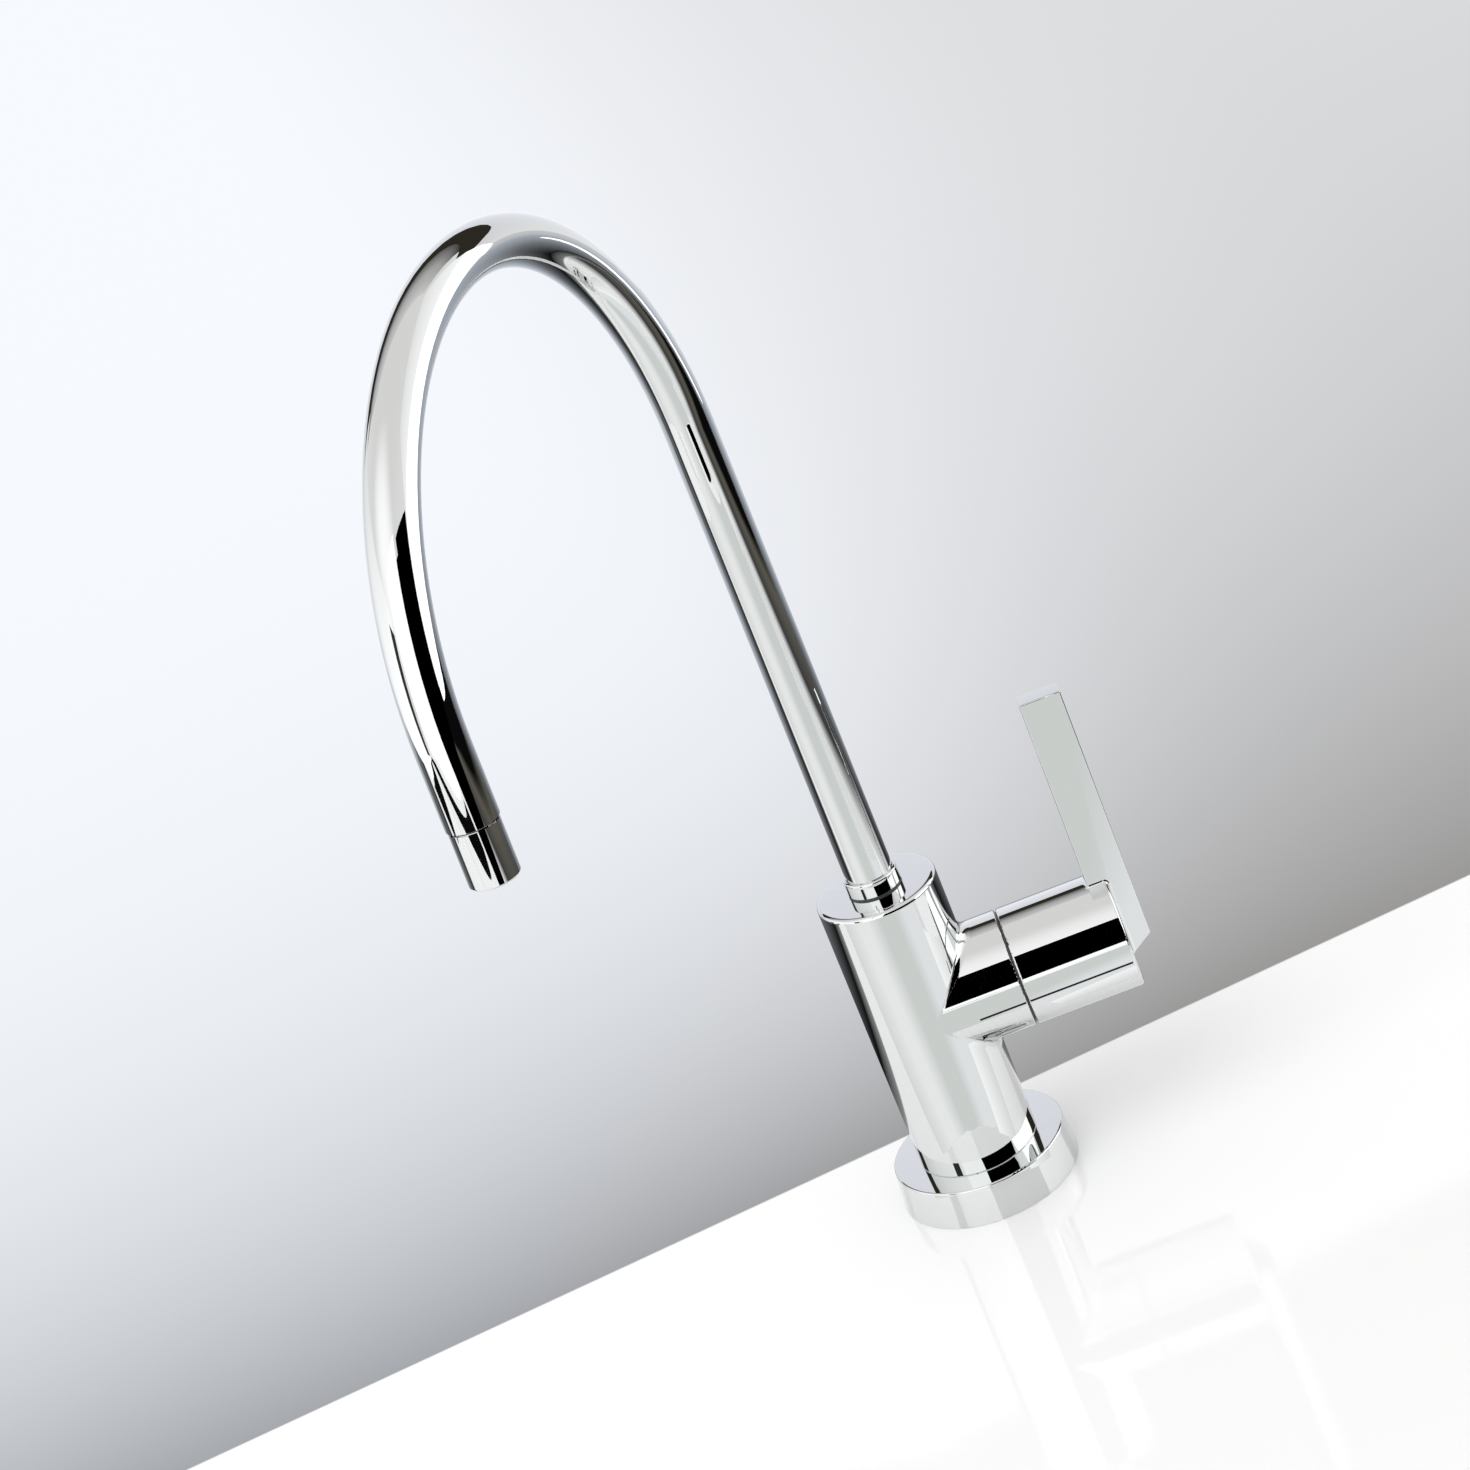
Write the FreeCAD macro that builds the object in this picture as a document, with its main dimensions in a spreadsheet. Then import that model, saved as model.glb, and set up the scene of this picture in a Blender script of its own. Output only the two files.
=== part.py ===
"""A deck mounted drinking water faucet with a swivelling gooseneck and a quarter turn lever.

The frame: the origin is the centre of the flange's underside, on the deck. +Z is up. +X runs
along the valve axis, from the body towards the handle. The spout swings about Z, and its arch
stands in a plane turned clockwise by spout_turn from +X. Lengths are in millimetres.
"""
import FreeCAD, Part
import math
import os
import Sketcher

DRIVING_DIMENSIONS = [
    ("flange_foot_radius", 23.1),
    ("flange_top_radius", 22.2),
    ("flange_height", 10.1),
    ("flange_edge_round", 0.5),
    ("flange_recess_radius", 13.5),
    ("flange_roof", 3.6),
    ("gasket_outer_radius", 21.4),
    ("gasket_inner_radius", 16.4),
    ("gasket_thickness", 2.2),
    ("body_radius", 15.3),
    ("body_head", 34.5),
    ("body_edge_round", 1.1),
    ("body_foot_break", 0.25),
    ("boss_inset", 0.2),
    ("boss_end", 24.5),
    ("boss_blend", 2.6),
    ("boss_edge_round", 0.35),
    ("valve_height", 52.3),
    ("boss_washer_thickness", 0.4),
    ("boss_washer_inset", 0.7),
    ("handle_gap", 0.15),
    ("hub_length", 27.85),
    ("hub_skirt_wall", 2.1),
    ("hub_skirt_depth", 9.6),
    ("hub_socket_depth", 8.4),
    ("hub_end_round", 0.7),
    ("lever_inset", 4.7),
    ("lever_width", 10.4),
    ("lever_thickness", 5.6),
    ("lever_height", 67.0),
    ("lever_foot_below", 2.8),
    ("lever_foot_drop", 4.0),
    ("lever_edge_break", 0.3),
    ("lever_foot_blend", 1.0),
    ("grub_radius", 2.0),
    ("grub_recess", 1.2),
    ("grub_key_flats", 2.0),
    ("grub_key_depth", 2.5),
    ("thread_clearance", 0.08),
    ("running_clearance", 0.06),
    ("seat_clearance", 0.05),
    ("valve_bore_floor", 2.0),
    ("valve_shoulder", 0.5),
    ("valve_chamber_length", 13.0),
    ("boss_wall", 4.9),
    ("valve_flange_clearance", 0.3),
    ("valve_flange_thickness", 3.6),
    ("valve_neck_radius", 6.4),
    ("valve_neck_length", 2.4),
    ("cage_clearance", 1.1),
    ("cage_wall", 1.0),
    ("cage_start_gap", 1.0),
    ("cage_window_width", 7.0),
    ("cage_window_length", 4.0),
    ("seat_seal_thickness", 2.4),
    ("seat_seal_hole_radius", 3.6),
    ("disc_thickness", 2.6),
    ("disc_rim", 1.8),
    ("disc_port_inner", 2.2),
    ("disc_port_sweep", 76.0),
    ("spindle_radius", 3.9),
    ("spindle_foot_clearance", 0.4),
    ("spindle_foot_thickness", 2.4),
    ("spindle_groove_depth", 0.9),
    ("spindle_groove_width", 1.2),
    ("spindle_ring_setback", 7.0),
    ("spindle_end_gap", 0.5),
    ("spindle_flat_depth", 0.6),
    ("circlip_thickness", 0.9),
    ("circlip_width", 2.0),
    ("circlip_mouth", 4.4),
    ("valve_ring_wire", 0.8),
    ("housing_ring_wire", 1.0),
    ("inlet_passage_radius", 2.6),
    ("inlet_passage_offset", 3.4),
    ("seat_port_radius", 3.0),
    ("outlet_passage_radius", 2.2),
    ("outlet_passage_offset", 4.2),
    ("spout_socket_radius", 6.5),
    ("spout_socket_depth", 20.4),
    ("socket_groove_depth", 0.8),
    ("spout_turn", 114.8),
    ("tube_radius", 6.0),
    ("tube_wall", 0.8),
    ("tube_riser", 128.2),
    ("arch_radius", 76.7),
    ("arch_angle", 176.3),
    ("tube_end_straight", 17.1),
    ("tube_end_break", 0.4),
    ("collar_radius", 6.85),
    ("collar_height", 3.9),
    ("collar_land", 3.3),
    ("bearing_washer_thickness", 0.5),
    ("bush_bore_radius", 3.9),
    ("bush_length", 18.6),
    ("tube_seat_depth", 2.0),
    ("bush_spigot_length", 7.0),
    ("ring_groove_depth", 1.35),
    ("ring_groove_width", 1.9),
    ("ring_wire", 1.2),
    ("upper_ring_depth", 4.4),
    ("lower_ring_depth", 8.4),
    ("snap_ring_depth", 13.6),
    ("snap_ring_wire", 1.3),
    ("snap_ring_mouth", 3.0),
    ("snap_groove_width", 1.7),
    ("tip_radius", 5.7),
    ("tip_length", 13.2),
    ("tip_joint_gap", 0.25),
    ("tip_spigot_length", 6.0),
    ("tip_spigot_bore", 3.6),
    ("tip_bore_radius", 4.7),
    ("tip_mouth_recess", 1.2),
    ("tip_edge_round", 0.5),
    ("screen_thickness", 0.6),
    ("screen_hole_radius", 0.42),
    ("screen_pitch", 1.2),
    ("straightener_length", 6.0),
    ("straightener_hole_radius", 0.62),
    ("straightener_pitch", 1.6),
    ("outlet_seal_thickness", 1.6),
    ("shank_radius", 6.0),
    ("shank_bore_radius", 4.0),
    ("shank_above_deck", 24.0),
    ("shank_below_deck", 62.0),
    ("shank_chamfer", 0.8),
    ("inlet_thread_radius", 5.55),
    ("inlet_thread_length", 16.0),
    ("inlet_relief_radius", 5.0),
    ("inlet_relief_width", 1.2),
    ("shank_hex_flats", 17.0),
    ("shank_hex_height", 3.0),
    ("shank_hole_clearance", 0.3),
    ("shank_hole_over_run", 2.0),
    ("shank_ring_wire", 1.6),
    ("deck_thickness", 30.0),
    ("deck_washer_radius", 17.0),
    ("rubber_washer_thickness", 3.0),
    ("steel_washer_thickness", 1.6),
    ("lock_washer_radius", 10.0),
    ("lock_washer_thickness", 1.4),
    ("lock_washer_mouth", 1.6),
    ("mounting_nut_flats", 22.0),
    ("mounting_nut_height", 8.0),
    ("mounting_nut_chamfer", 1.0),
]

DERIVED_DIMENSIONS = [
    ("body_top", "valve_height + body_head"),
    ("boss_radius", "body_radius - boss_inset"),
    ("hub_end", "boss_end + boss_washer_thickness + handle_gap + hub_length"),
    ("lever_inner", "hub_end - lever_inset"),
    ("lever_top", "valve_height + lever_height"),
    ("lever_foot", "valve_height - lever_foot_below"),
    ("valve_thread_radius", "boss_radius - boss_wall"),
    ("valve_chamber_radius", "valve_thread_radius - valve_shoulder"),
    ("valve_flange_flats", "(boss_radius - hub_skirt_wall - valve_flange_clearance) * sqrt(3)"),
    ("cage_radius", "valve_chamber_radius - cage_clearance"),
    ("cage_bore_radius", "cage_radius - cage_wall"),
    ("disc_port_outer", "cage_bore_radius - disc_rim"),
    ("spindle_foot_radius", "cage_bore_radius - spindle_foot_clearance"),
    ("spindle_ring_start", "boss_end - spindle_ring_setback"),
    ("tube_straight_top", "body_top + tube_riser"),
]

doc = FreeCAD.newDocument("water_faucet")
sizes = doc.addObject("Spreadsheet::Sheet", "sizes")
for row, (alias, value) in enumerate(DRIVING_DIMENSIONS, start=1):
    sizes.set("A%d" % row, alias.replace("_", " "))
    sizes.set("B%d" % row, str(value))
    sizes.setAlias("B%d" % row, alias)
for row, (alias, formula) in enumerate(DERIVED_DIMENSIONS, start=len(DRIVING_DIMENSIONS) + 1):
    sizes.set("A%d" % row, alias.replace("_", " "))
    sizes.set("B%d" % row, "=" + formula)
    sizes.setAlias("B%d" % row, alias)
doc.recompute()

ALIASES = {alias for alias, value in DRIVING_DIMENSIONS + DERIVED_DIMENSIONS}


def of_sheet(formula):
    """Turn a formula in aliases into an expression that reads them from the sheet."""
    words = []
    word = ""
    for letter in formula + " ":
        if letter.isalnum() or letter == "_":
            word += letter
            continue
        words.append("sizes." + word if word in ALIASES else word)
        words.append(letter)
        word = ""
    return "".join(words).strip()


def number(formula):
    """Work a formula in aliases out as a plain number, for a sketch's first guess."""
    holder = doc.getObject("calculator")
    if holder is None:
        holder = doc.addObject("App::FeaturePython", "calculator")
        holder.addProperty("App::PropertyFloat", "result")
    holder.setExpression("result", of_sheet(formula))
    holder.recompute()
    return holder.result


def bind(thing, path, formula):
    """Bind one property of a document object to a formula in the sheet's aliases."""
    thing.setExpression(path, of_sheet(formula))


def new_body(label):
    """Start a piece that is made from sketches."""
    body = doc.addObject("PartDesign::Body", label)
    body.Label = label
    return body


def attached_sketch(body, name, role):
    """Put a new sketch on one of the body's own origin planes."""
    sketch = body.newObject("Sketcher::SketchObject", name)
    support = [item for item in body.Origin.OriginFeatures if item.Role == role][0]
    sketch.AttachmentSupport = (support, [""])
    sketch.MapMode = "FlatFace"
    return sketch


def shift(sketch, x="0", y="0", z="0"):
    """Move an attached sketch within and off its plane by formulas."""
    bind(sketch, "AttachmentOffset.Base.x", x)
    bind(sketch, "AttachmentOffset.Base.y", y)
    bind(sketch, "AttachmentOffset.Base.z", z)


def pin_point(sketch, geometry, end, x, y):
    """Hold one end of a piece of sketch geometry at formulas measured from the sketch's origin."""
    across = sketch.addConstraint(
        Sketcher.Constraint("DistanceX", -1, 1, geometry, end, number(x)))
    up = sketch.addConstraint(
        Sketcher.Constraint("DistanceY", -1, 1, geometry, end, number(y)))
    bind(sketch, "Constraints[%d]" % across, x)
    bind(sketch, "Constraints[%d]" % up, y)


def arc_between(start, end, radius):
    """Make the short arc from start to end whose centre lies to the right of that way."""
    chord = end - start
    half = chord.Length / 2
    to_the_right = FreeCAD.Vector(chord.y, -chord.x, 0).normalize()
    reach = math.sqrt(max(radius * radius - half * half, 0))
    centre = start + chord * 0.5 + to_the_right * reach
    from_end = math.atan2(end.y - centre.y, end.x - centre.x)
    from_start = math.atan2(start.y - centre.y, start.x - centre.x)
    whole = Part.Circle(centre, FreeCAD.Vector(0, 0, 1), radius)
    return Part.ArcOfCircle(whole, from_end, from_start)


def outline(sketch, corners):
    """Draw a closed outline through corners that are given as formulas.

    A corner is (x, y), or (x, y, radius) where the stretch that starts at it is an arc
    with its centre to the right of the way from this corner to the next.
    """
    points = [FreeCAD.Vector(number(corner[0]), number(corner[1]), 0) for corner in corners]
    stretches = []
    for place, corner in enumerate(corners):
        start = points[place]
        end = points[(place + 1) % len(points)]
        if len(corner) == 2:
            line = sketch.addGeometry(Part.LineSegment(start, end), False)
            stretches.append((line, 1, 2))
            continue
        arc = sketch.addGeometry(arc_between(start, end, number(corner[2])), False)
        stretches.append((arc, 2, 1))
    for place, (piece, first, last) in enumerate(stretches):
        following, following_first, following_last = stretches[(place + 1) % len(stretches)]
        sketch.addConstraint(
            Sketcher.Constraint("Coincident", piece, last, following, following_first))
    for (piece, first, last), corner in zip(stretches, corners):
        pin_point(sketch, piece, first, corner[0], corner[1])
        if len(corner) == 3:
            size = sketch.addConstraint(Sketcher.Constraint("Radius", piece, number(corner[2])))
            bind(sketch, "Constraints[%d]" % size, corner[2])


def circle(sketch, radius, x="0", y="0"):
    """Draw a circle whose radius and centre are formulas."""
    centre = FreeCAD.Vector(number(x), number(y), 0)
    ring = sketch.addGeometry(Part.Circle(centre, FreeCAD.Vector(0, 0, 1), number(radius)), False)
    pin_point(sketch, ring, 3, x, y)
    size = sketch.addConstraint(Sketcher.Constraint("Radius", ring, number(radius)))
    bind(sketch, "Constraints[%d]" % size, radius)


def hexagon(flats, turn=0):
    """List the corners of a hexagon from the formula of its width across flats."""
    corners = []
    for step in range(6):
        angle = 60 * step + turn
        corners.append(("(%s) / sqrt(3) * cos(%d)" % (flats, angle),
                        "(%s) / sqrt(3) * sin(%d)" % (flats, angle)))
    return corners


def turned(body, name, corners, axis="V_Axis", height="0", cut=False, turn=None, base=None):
    """Turn an outline in the body's XZ plane about one of the sketch's own axes.

    The sketch's x is the body's X and its y is Z, both measured from the given height.
    A turn tilts the sketch clockwise by degrees, and base moves it within the plane.
    """
    sketch = attached_sketch(body, name + "_profile", "XZ_Plane")
    if base is None:
        shift(sketch, "0", height)
    else:
        shift(sketch, base[0], base[1])
    if turn is not None:
        clockwise = FreeCAD.Rotation(FreeCAD.Vector(0, 0, -1), number(turn))
        sketch.AttachmentOffset = FreeCAD.Placement(FreeCAD.Vector(), clockwise)
        bind(sketch, "AttachmentOffset.Rotation.Angle", turn)
    outline(sketch, corners)
    kind = "PartDesign::Groove" if cut else "PartDesign::Revolution"
    feature = body.newObject(kind, name)
    feature.Profile = sketch
    feature.ReferenceAxis = (sketch, [axis])
    feature.Angle = 360
    doc.recompute()
    return feature


def padded(body, name, role, draw, length, offset="0", both_ways=False, back=False):
    """Pad a sketch that draw fills, from an offset off its plane."""
    sketch = attached_sketch(body, name + "_profile", role)
    shift(sketch, z=offset)
    draw(sketch)
    feature = body.newObject("PartDesign::Pad", name)
    feature.Profile = sketch
    bind(feature, "Length", length)
    feature.SideType = "Symmetric" if both_ways else "One side"
    feature.Reversed = back
    doc.recompute()
    return feature


def pocketed(body, name, role, draw, length, offset="0", both_ways=False, back=False):
    """Cut a pocket from a sketch, and make sure that it took something away."""
    before = body.Shape.Volume
    sketch = attached_sketch(body, name + "_profile", role)
    shift(sketch, z=offset)
    draw(sketch)
    feature = body.newObject("PartDesign::Pocket", name)
    feature.Profile = sketch
    bind(feature, "Length", length)
    feature.SideType = "Symmetric" if both_ways else "One side"
    feature.Reversed = back
    doc.recompute()
    if not feature.Shape.Volume < before:
        raise RuntimeError(name + " cuts nothing")
    return feature


def round_edges(body, name, wanted, radius, chamfer=False):
    """Round or chamfer the edges of the body's last feature that a test picks out."""
    last = body.Tip
    picked = ["Edge%d" % place for place, edge in enumerate(last.Shape.Edges, start=1)
              if wanted(edge)]
    if not picked:
        raise RuntimeError(name + " finds no edge")
    kind = "PartDesign::Chamfer" if chamfer else "PartDesign::Fillet"
    feature = body.newObject(kind, name)
    feature.Base = (last, picked)
    bind(feature, "Size" if chamfer else "Radius", radius)
    doc.recompute()
    return feature


def near(one, other):
    """Tell whether two lengths are the same within a hundredth."""
    return abs(one - other) < 0.01


def ring_edge(radius, axis, place):
    """Make a test for a full circle of a radius that is centred at a place along an axis."""
    wanted_radius = number(radius)
    wanted_place = number(place)

    def test(edge):
        """Compare one edge's circle with the wanted one."""
        if not isinstance(edge.Curve, Part.Circle):
            return False
        centre = edge.Curve.Center
        spot = {"x": centre.x, "z": centre.z}[axis]
        return near(edge.Curve.Radius, wanted_radius) and near(spot, wanted_place)

    return test


def o_ring(label, ring_radius, wire_radius, x="0", z="0", along_x=False):
    """Make a rubber ring or a wire ring as a torus."""
    ring = doc.addObject("Part::Torus", label)
    ring.Label = label
    bind(ring, "Radius1", ring_radius)
    bind(ring, "Radius2", wire_radius)
    if along_x:
        ring.Placement.Rotation = FreeCAD.Rotation(FreeCAD.Vector(0, 1, 0), 90)
    bind(ring, "Placement.Base.x", x)
    bind(ring, "Placement.Base.z", z)
    return ring


def face_the_spout(piece):
    """Swing a piece that is drawn along +X round to the spout's own direction."""
    downwards = FreeCAD.Vector(0, 0, -1)
    piece.Placement.Rotation = FreeCAD.Rotation(downwards, number("spout_turn"))
    bind(piece, "Placement.Rotation.Angle", "spout_turn")


HUB_START = "(boss_end + boss_washer_thickness + handle_gap)"
SKIRT_RADIUS = "(boss_radius - hub_skirt_wall)"
SOCKET_END = "(%s + hub_skirt_depth + hub_socket_depth)" % HUB_START
CHAMBER_END = "(valve_bore_floor + valve_chamber_length)"
SEAL_END = "(valve_bore_floor + seat_seal_thickness)"
FIXED_DISC_END = "(%s + disc_thickness)" % SEAL_END
MOVING_DISC_END = "(%s + disc_thickness)" % FIXED_DISC_END
SPINDLE_FOOT_END = "(%s + spindle_foot_thickness)" % MOVING_DISC_END
VALVE_NECK_END = "(boss_end + valve_flange_thickness + valve_neck_length)"
SPINDLE_END = "(%s - spindle_end_gap)" % SOCKET_END
GRUB_PLACE = "(%s - hub_socket_depth / 2)" % SOCKET_END
GRUB_SEAT = "(spindle_radius - spindle_flat_depth)"
COLLAR_FOOT = "(body_top + bearing_washer_thickness)"
BARREL_RADIUS = "(spout_socket_radius - running_clearance)"
TUBE_FOOT = "(%s + collar_height - tube_seat_depth)" % COLLAR_FOOT
TUBE_BORE = "(tube_radius - tube_wall)"
ARCH_OUT = "(arch_radius * (1 - cos(arch_angle)))"
ARCH_UP = "(tube_straight_top + arch_radius * sin(arch_angle))"
TUBE_END_OUT = "(%s + tube_end_straight * sin(arch_angle))" % ARCH_OUT
TUBE_END_UP = "(%s + tube_end_straight * cos(arch_angle))" % ARCH_UP
STRAIGHTENER_START = "(tip_length - tip_mouth_recess - straightener_length)"
SCREEN_START = "(%s - screen_thickness)" % STRAIGHTENER_START
SEAL_START = "(%s - outlet_seal_thickness)" % SCREEN_START
GROOVE_RADIUS = "(%s - ring_groove_depth)" % BARREL_RADIUS
FLANGE_ROOF_UNDERSIDE = "(flange_height - flange_roof)"
SHANK_HOLE_RADIUS = "(shank_radius + shank_hole_clearance)"
THREAD_HOLE_RADIUS = "(shank_radius + thread_clearance)"
RUBBER_WASHER_UNDERSIDE = "(-deck_thickness - rubber_washer_thickness)"
STEEL_WASHER_UNDERSIDE = "(%s - steel_washer_thickness)" % RUBBER_WASHER_UNDERSIDE
LOCK_WASHER_UNDERSIDE = "(%s - lock_washer_thickness)" % STEEL_WASHER_UNDERSIDE


def deck_flange():
    """The round foot: a turned ring, hollow underneath, with a groove for its gasket."""
    body = new_body("deck_flange")
    turned(body, "ring", [
        (SHANK_HOLE_RADIUS, "flange_height"),
        ("flange_top_radius", "flange_height"),
        ("flange_foot_radius", "0"),
        ("gasket_outer_radius", "0"),
        ("gasket_outer_radius", "gasket_thickness"),
        ("gasket_inner_radius", "gasket_thickness"),
        ("gasket_inner_radius", "0"),
        ("flange_recess_radius", "0"),
        ("flange_recess_radius", FLANGE_ROOF_UNDERSIDE),
        (SHANK_HOLE_RADIUS, FLANGE_ROOF_UNDERSIDE),
    ])
    round_edges(body, "edge_round", ring_edge("flange_top_radius", "z", "flange_height"),
                "flange_edge_round")
    return body


def flange_gasket():
    """The rubber ring in the flange's groove, flush with the flange's underside."""
    body = new_body("flange_gasket")
    turned(body, "ring", [
        ("gasket_inner_radius + seat_clearance", "0"),
        ("gasket_outer_radius - seat_clearance", "0"),
        ("gasket_outer_radius - seat_clearance", "gasket_thickness"),
        ("gasket_inner_radius + seat_clearance", "gasket_thickness"),
    ])
    return body


def body_casting():
    """The upright cylinder with its side boss, one casting, and all its waterways."""
    body = new_body("body_casting")
    turned(body, "column", [
        ("0", "flange_height"),
        ("body_radius - body_foot_break", "flange_height"),
        ("body_radius", "flange_height + body_foot_break"),
        ("body_radius", "body_top"),
        ("0", "body_top"),
    ])
    turned(body, "boss", [
        ("0", "0"),
        ("boss_end", "0"),
        ("boss_end", "boss_radius"),
        ("0", "boss_radius"),
    ], axis="H_Axis", height="valve_height")

    def on_the_join(edge):
        """Pick the curve where the boss runs into the column."""
        return not isinstance(edge.Curve, (Part.Circle, Part.Line))

    round_edges(body, "blend", on_the_join, "boss_blend")
    round_edges(body, "top_round", ring_edge("body_radius", "z", "body_top"), "body_edge_round")
    round_edges(body, "boss_round", ring_edge("boss_radius", "x", "boss_end"), "boss_edge_round")
    turned(body, "valve_bore", [
        ("valve_bore_floor", "0"),
        ("boss_end", "0"),
        ("boss_end", "valve_thread_radius"),
        (CHAMBER_END, "valve_thread_radius"),
        (CHAMBER_END, "valve_chamber_radius"),
        ("valve_bore_floor", "valve_chamber_radius"),
    ], axis="H_Axis", height="valve_height", cut=True)
    groove_top = "(body_top - snap_ring_depth + snap_groove_width / 2)"
    groove_bottom = "(body_top - snap_ring_depth - snap_groove_width / 2)"
    turned(body, "spout_socket", [
        ("0", "body_top"),
        ("spout_socket_radius", "body_top"),
        ("spout_socket_radius", groove_top),
        ("spout_socket_radius + socket_groove_depth", groove_top),
        ("spout_socket_radius + socket_groove_depth", groove_bottom),
        ("spout_socket_radius", groove_bottom),
        ("spout_socket_radius", "body_top - spout_socket_depth"),
        ("0", "body_top - spout_socket_depth"),
    ], cut=True)
    ring_seat = "(flange_height + shank_ring_wire)"
    hole_top = "(shank_above_deck + shank_hole_over_run)"
    turned(body, "shank_hole", [
        ("0", "flange_height"),
        ("shank_radius + shank_ring_wire", "flange_height"),
        ("shank_radius + shank_ring_wire", ring_seat),
        (THREAD_HOLE_RADIUS, ring_seat),
        (THREAD_HOLE_RADIUS, hole_top),
        ("0", hole_top),
    ], cut=True)

    def inlet(sketch):
        """Draw the passage from the shank up to the valve's seat."""
        circle(sketch, "inlet_passage_radius", "-inlet_passage_offset")

    def outlet(sketch):
        """Draw the passage from the valve's chamber up to the spout's socket."""
        circle(sketch, "outlet_passage_radius", "outlet_passage_offset")

    def port(sketch):
        """Draw the port through the middle of the valve's seat."""
        circle(sketch, "seat_port_radius", "0", "valve_height")

    pocketed(body, "inlet_passage", "XY_Plane", inlet,
             "valve_height + seat_port_radius - shank_above_deck",
             offset="shank_above_deck", back=True)
    pocketed(body, "outlet_passage", "XY_Plane", outlet,
             "body_top - spout_socket_depth - valve_height",
             offset="body_top - spout_socket_depth")
    pocketed(body, "seat_port", "YZ_Plane", port,
             "valve_bore_floor + inlet_passage_offset", offset="valve_bore_floor")
    return body


def lever_handle():
    """The hub and its flat lever, one polished casting, hollow towards the boss."""
    body = new_body("lever_handle")
    turned(body, "hub", [
        (HUB_START, SKIRT_RADIUS),
        (HUB_START, "boss_radius"),
        ("hub_end", "boss_radius"),
        ("hub_end", "0"),
        (SOCKET_END, "0"),
        (SOCKET_END, "spindle_radius + seat_clearance"),
        (HUB_START + " + hub_skirt_depth", "spindle_radius + seat_clearance"),
        (HUB_START + " + hub_skirt_depth", SKIRT_RADIUS),
    ], axis="H_Axis", height="valve_height")
    round_edges(body, "end_round", ring_edge("boss_radius", "x", "hub_end"), "hub_end_round")
    round_edges(body, "start_round", ring_edge("boss_radius", "x", HUB_START),
                "boss_edge_round")

    def blade(sketch):
        """Draw the lever's side, with its lower outer corner cut off."""
        outline(sketch, [
            ("lever_inner", "lever_top"),
            ("lever_inner", "lever_foot - lever_foot_drop"),
            ("hub_end", "lever_foot - lever_foot_drop"),
            ("lever_inner + lever_width", "lever_foot"),
            ("lever_inner + lever_width", "lever_top"),
        ])

    padded(body, "lever", "XZ_Plane", blade, "lever_thickness", both_ways=True)
    half = number("lever_thickness / 2")
    hub_top = number("valve_height + boss_radius")
    blade_inside = number("lever_inner")
    blade_foot = number("lever_foot - lever_foot_drop")
    blade_top = number("lever_top")
    hub_face = number("hub_end")
    slack = 0.01

    def at_the_foot(edge):
        """Pick the edges where the lever runs into the hub."""
        box = edge.BoundBox
        across = max(abs(box.YMin), abs(box.YMax)) < half + slack
        along = box.XMin > blade_inside - slack and box.XMax < hub_face + slack
        return across and along and blade_foot - slack < box.ZMin and box.ZMax < hub_top + slack

    def inner_edge(edge):
        """Pick the lever's two long edges on the side of the spout."""
        ends = [vertex.Point for vertex in edge.Vertexes]
        inside = all(near(end.x, blade_inside) and near(abs(end.y), half) for end in ends)
        return inside and edge.BoundBox.ZLength > half

    def outer_edge(edge):
        """Pick the lever's other straight edges, clear of its foot."""
        ends = [vertex.Point for vertex in edge.Vertexes]
        on_the_sides = all(near(abs(end.y), half) for end in ends)
        clear = edge.BoundBox.XMax > hub_face + slack and isinstance(edge.Curve, Part.Line)
        at_the_top = all(near(end.z, blade_top) for end in ends)
        return clear and on_the_sides or at_the_top

    round_edges(body, "inner_edges", inner_edge, "lever_edge_break")
    round_edges(body, "foot_blend", at_the_foot, "lever_foot_blend")
    round_edges(body, "outer_edges", outer_edge, "lever_edge_break")

    def grub_hole(sketch):
        """Draw the threaded hole for the grub screw."""
        circle(sketch, "grub_radius + thread_clearance", GRUB_PLACE)

    pocketed(body, "grub_hole", "XY_Plane", grub_hole, "boss_radius",
             offset="valve_height")
    return body


def handle_grub_screw():
    """The screw in the hub's underside, with its key socket outwards."""
    body = new_body("handle_grub_screw")
    outer_end = "(valve_height - boss_radius + grub_recess)"

    def shaft(sketch):
        """Draw the screw's round section."""
        circle(sketch, "grub_radius", GRUB_PLACE)

    def key(sketch):
        """Draw the hexagon of the key socket."""
        outline(sketch, [(GRUB_PLACE + " + " + x, y) for x, y in hexagon("grub_key_flats")])

    padded(body, "shaft", "XY_Plane", shaft,
           "boss_radius - grub_recess - %s" % GRUB_SEAT, offset=outer_end)
    pocketed(body, "key_socket", "XY_Plane", key, "grub_key_depth", offset=outer_end,
             back=True)
    return body


def boss_washer():
    """The thin plastic ring between the boss's end and the hub."""
    body = new_body("boss_washer")
    turned(body, "ring", [
        ("boss_end", SKIRT_RADIUS),
        ("boss_end + boss_washer_thickness", SKIRT_RADIUS),
        ("boss_end + boss_washer_thickness", "boss_radius - boss_washer_inset"),
        ("boss_end", "boss_radius - boss_washer_inset"),
    ], axis="H_Axis", height="valve_height")
    return body


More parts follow.
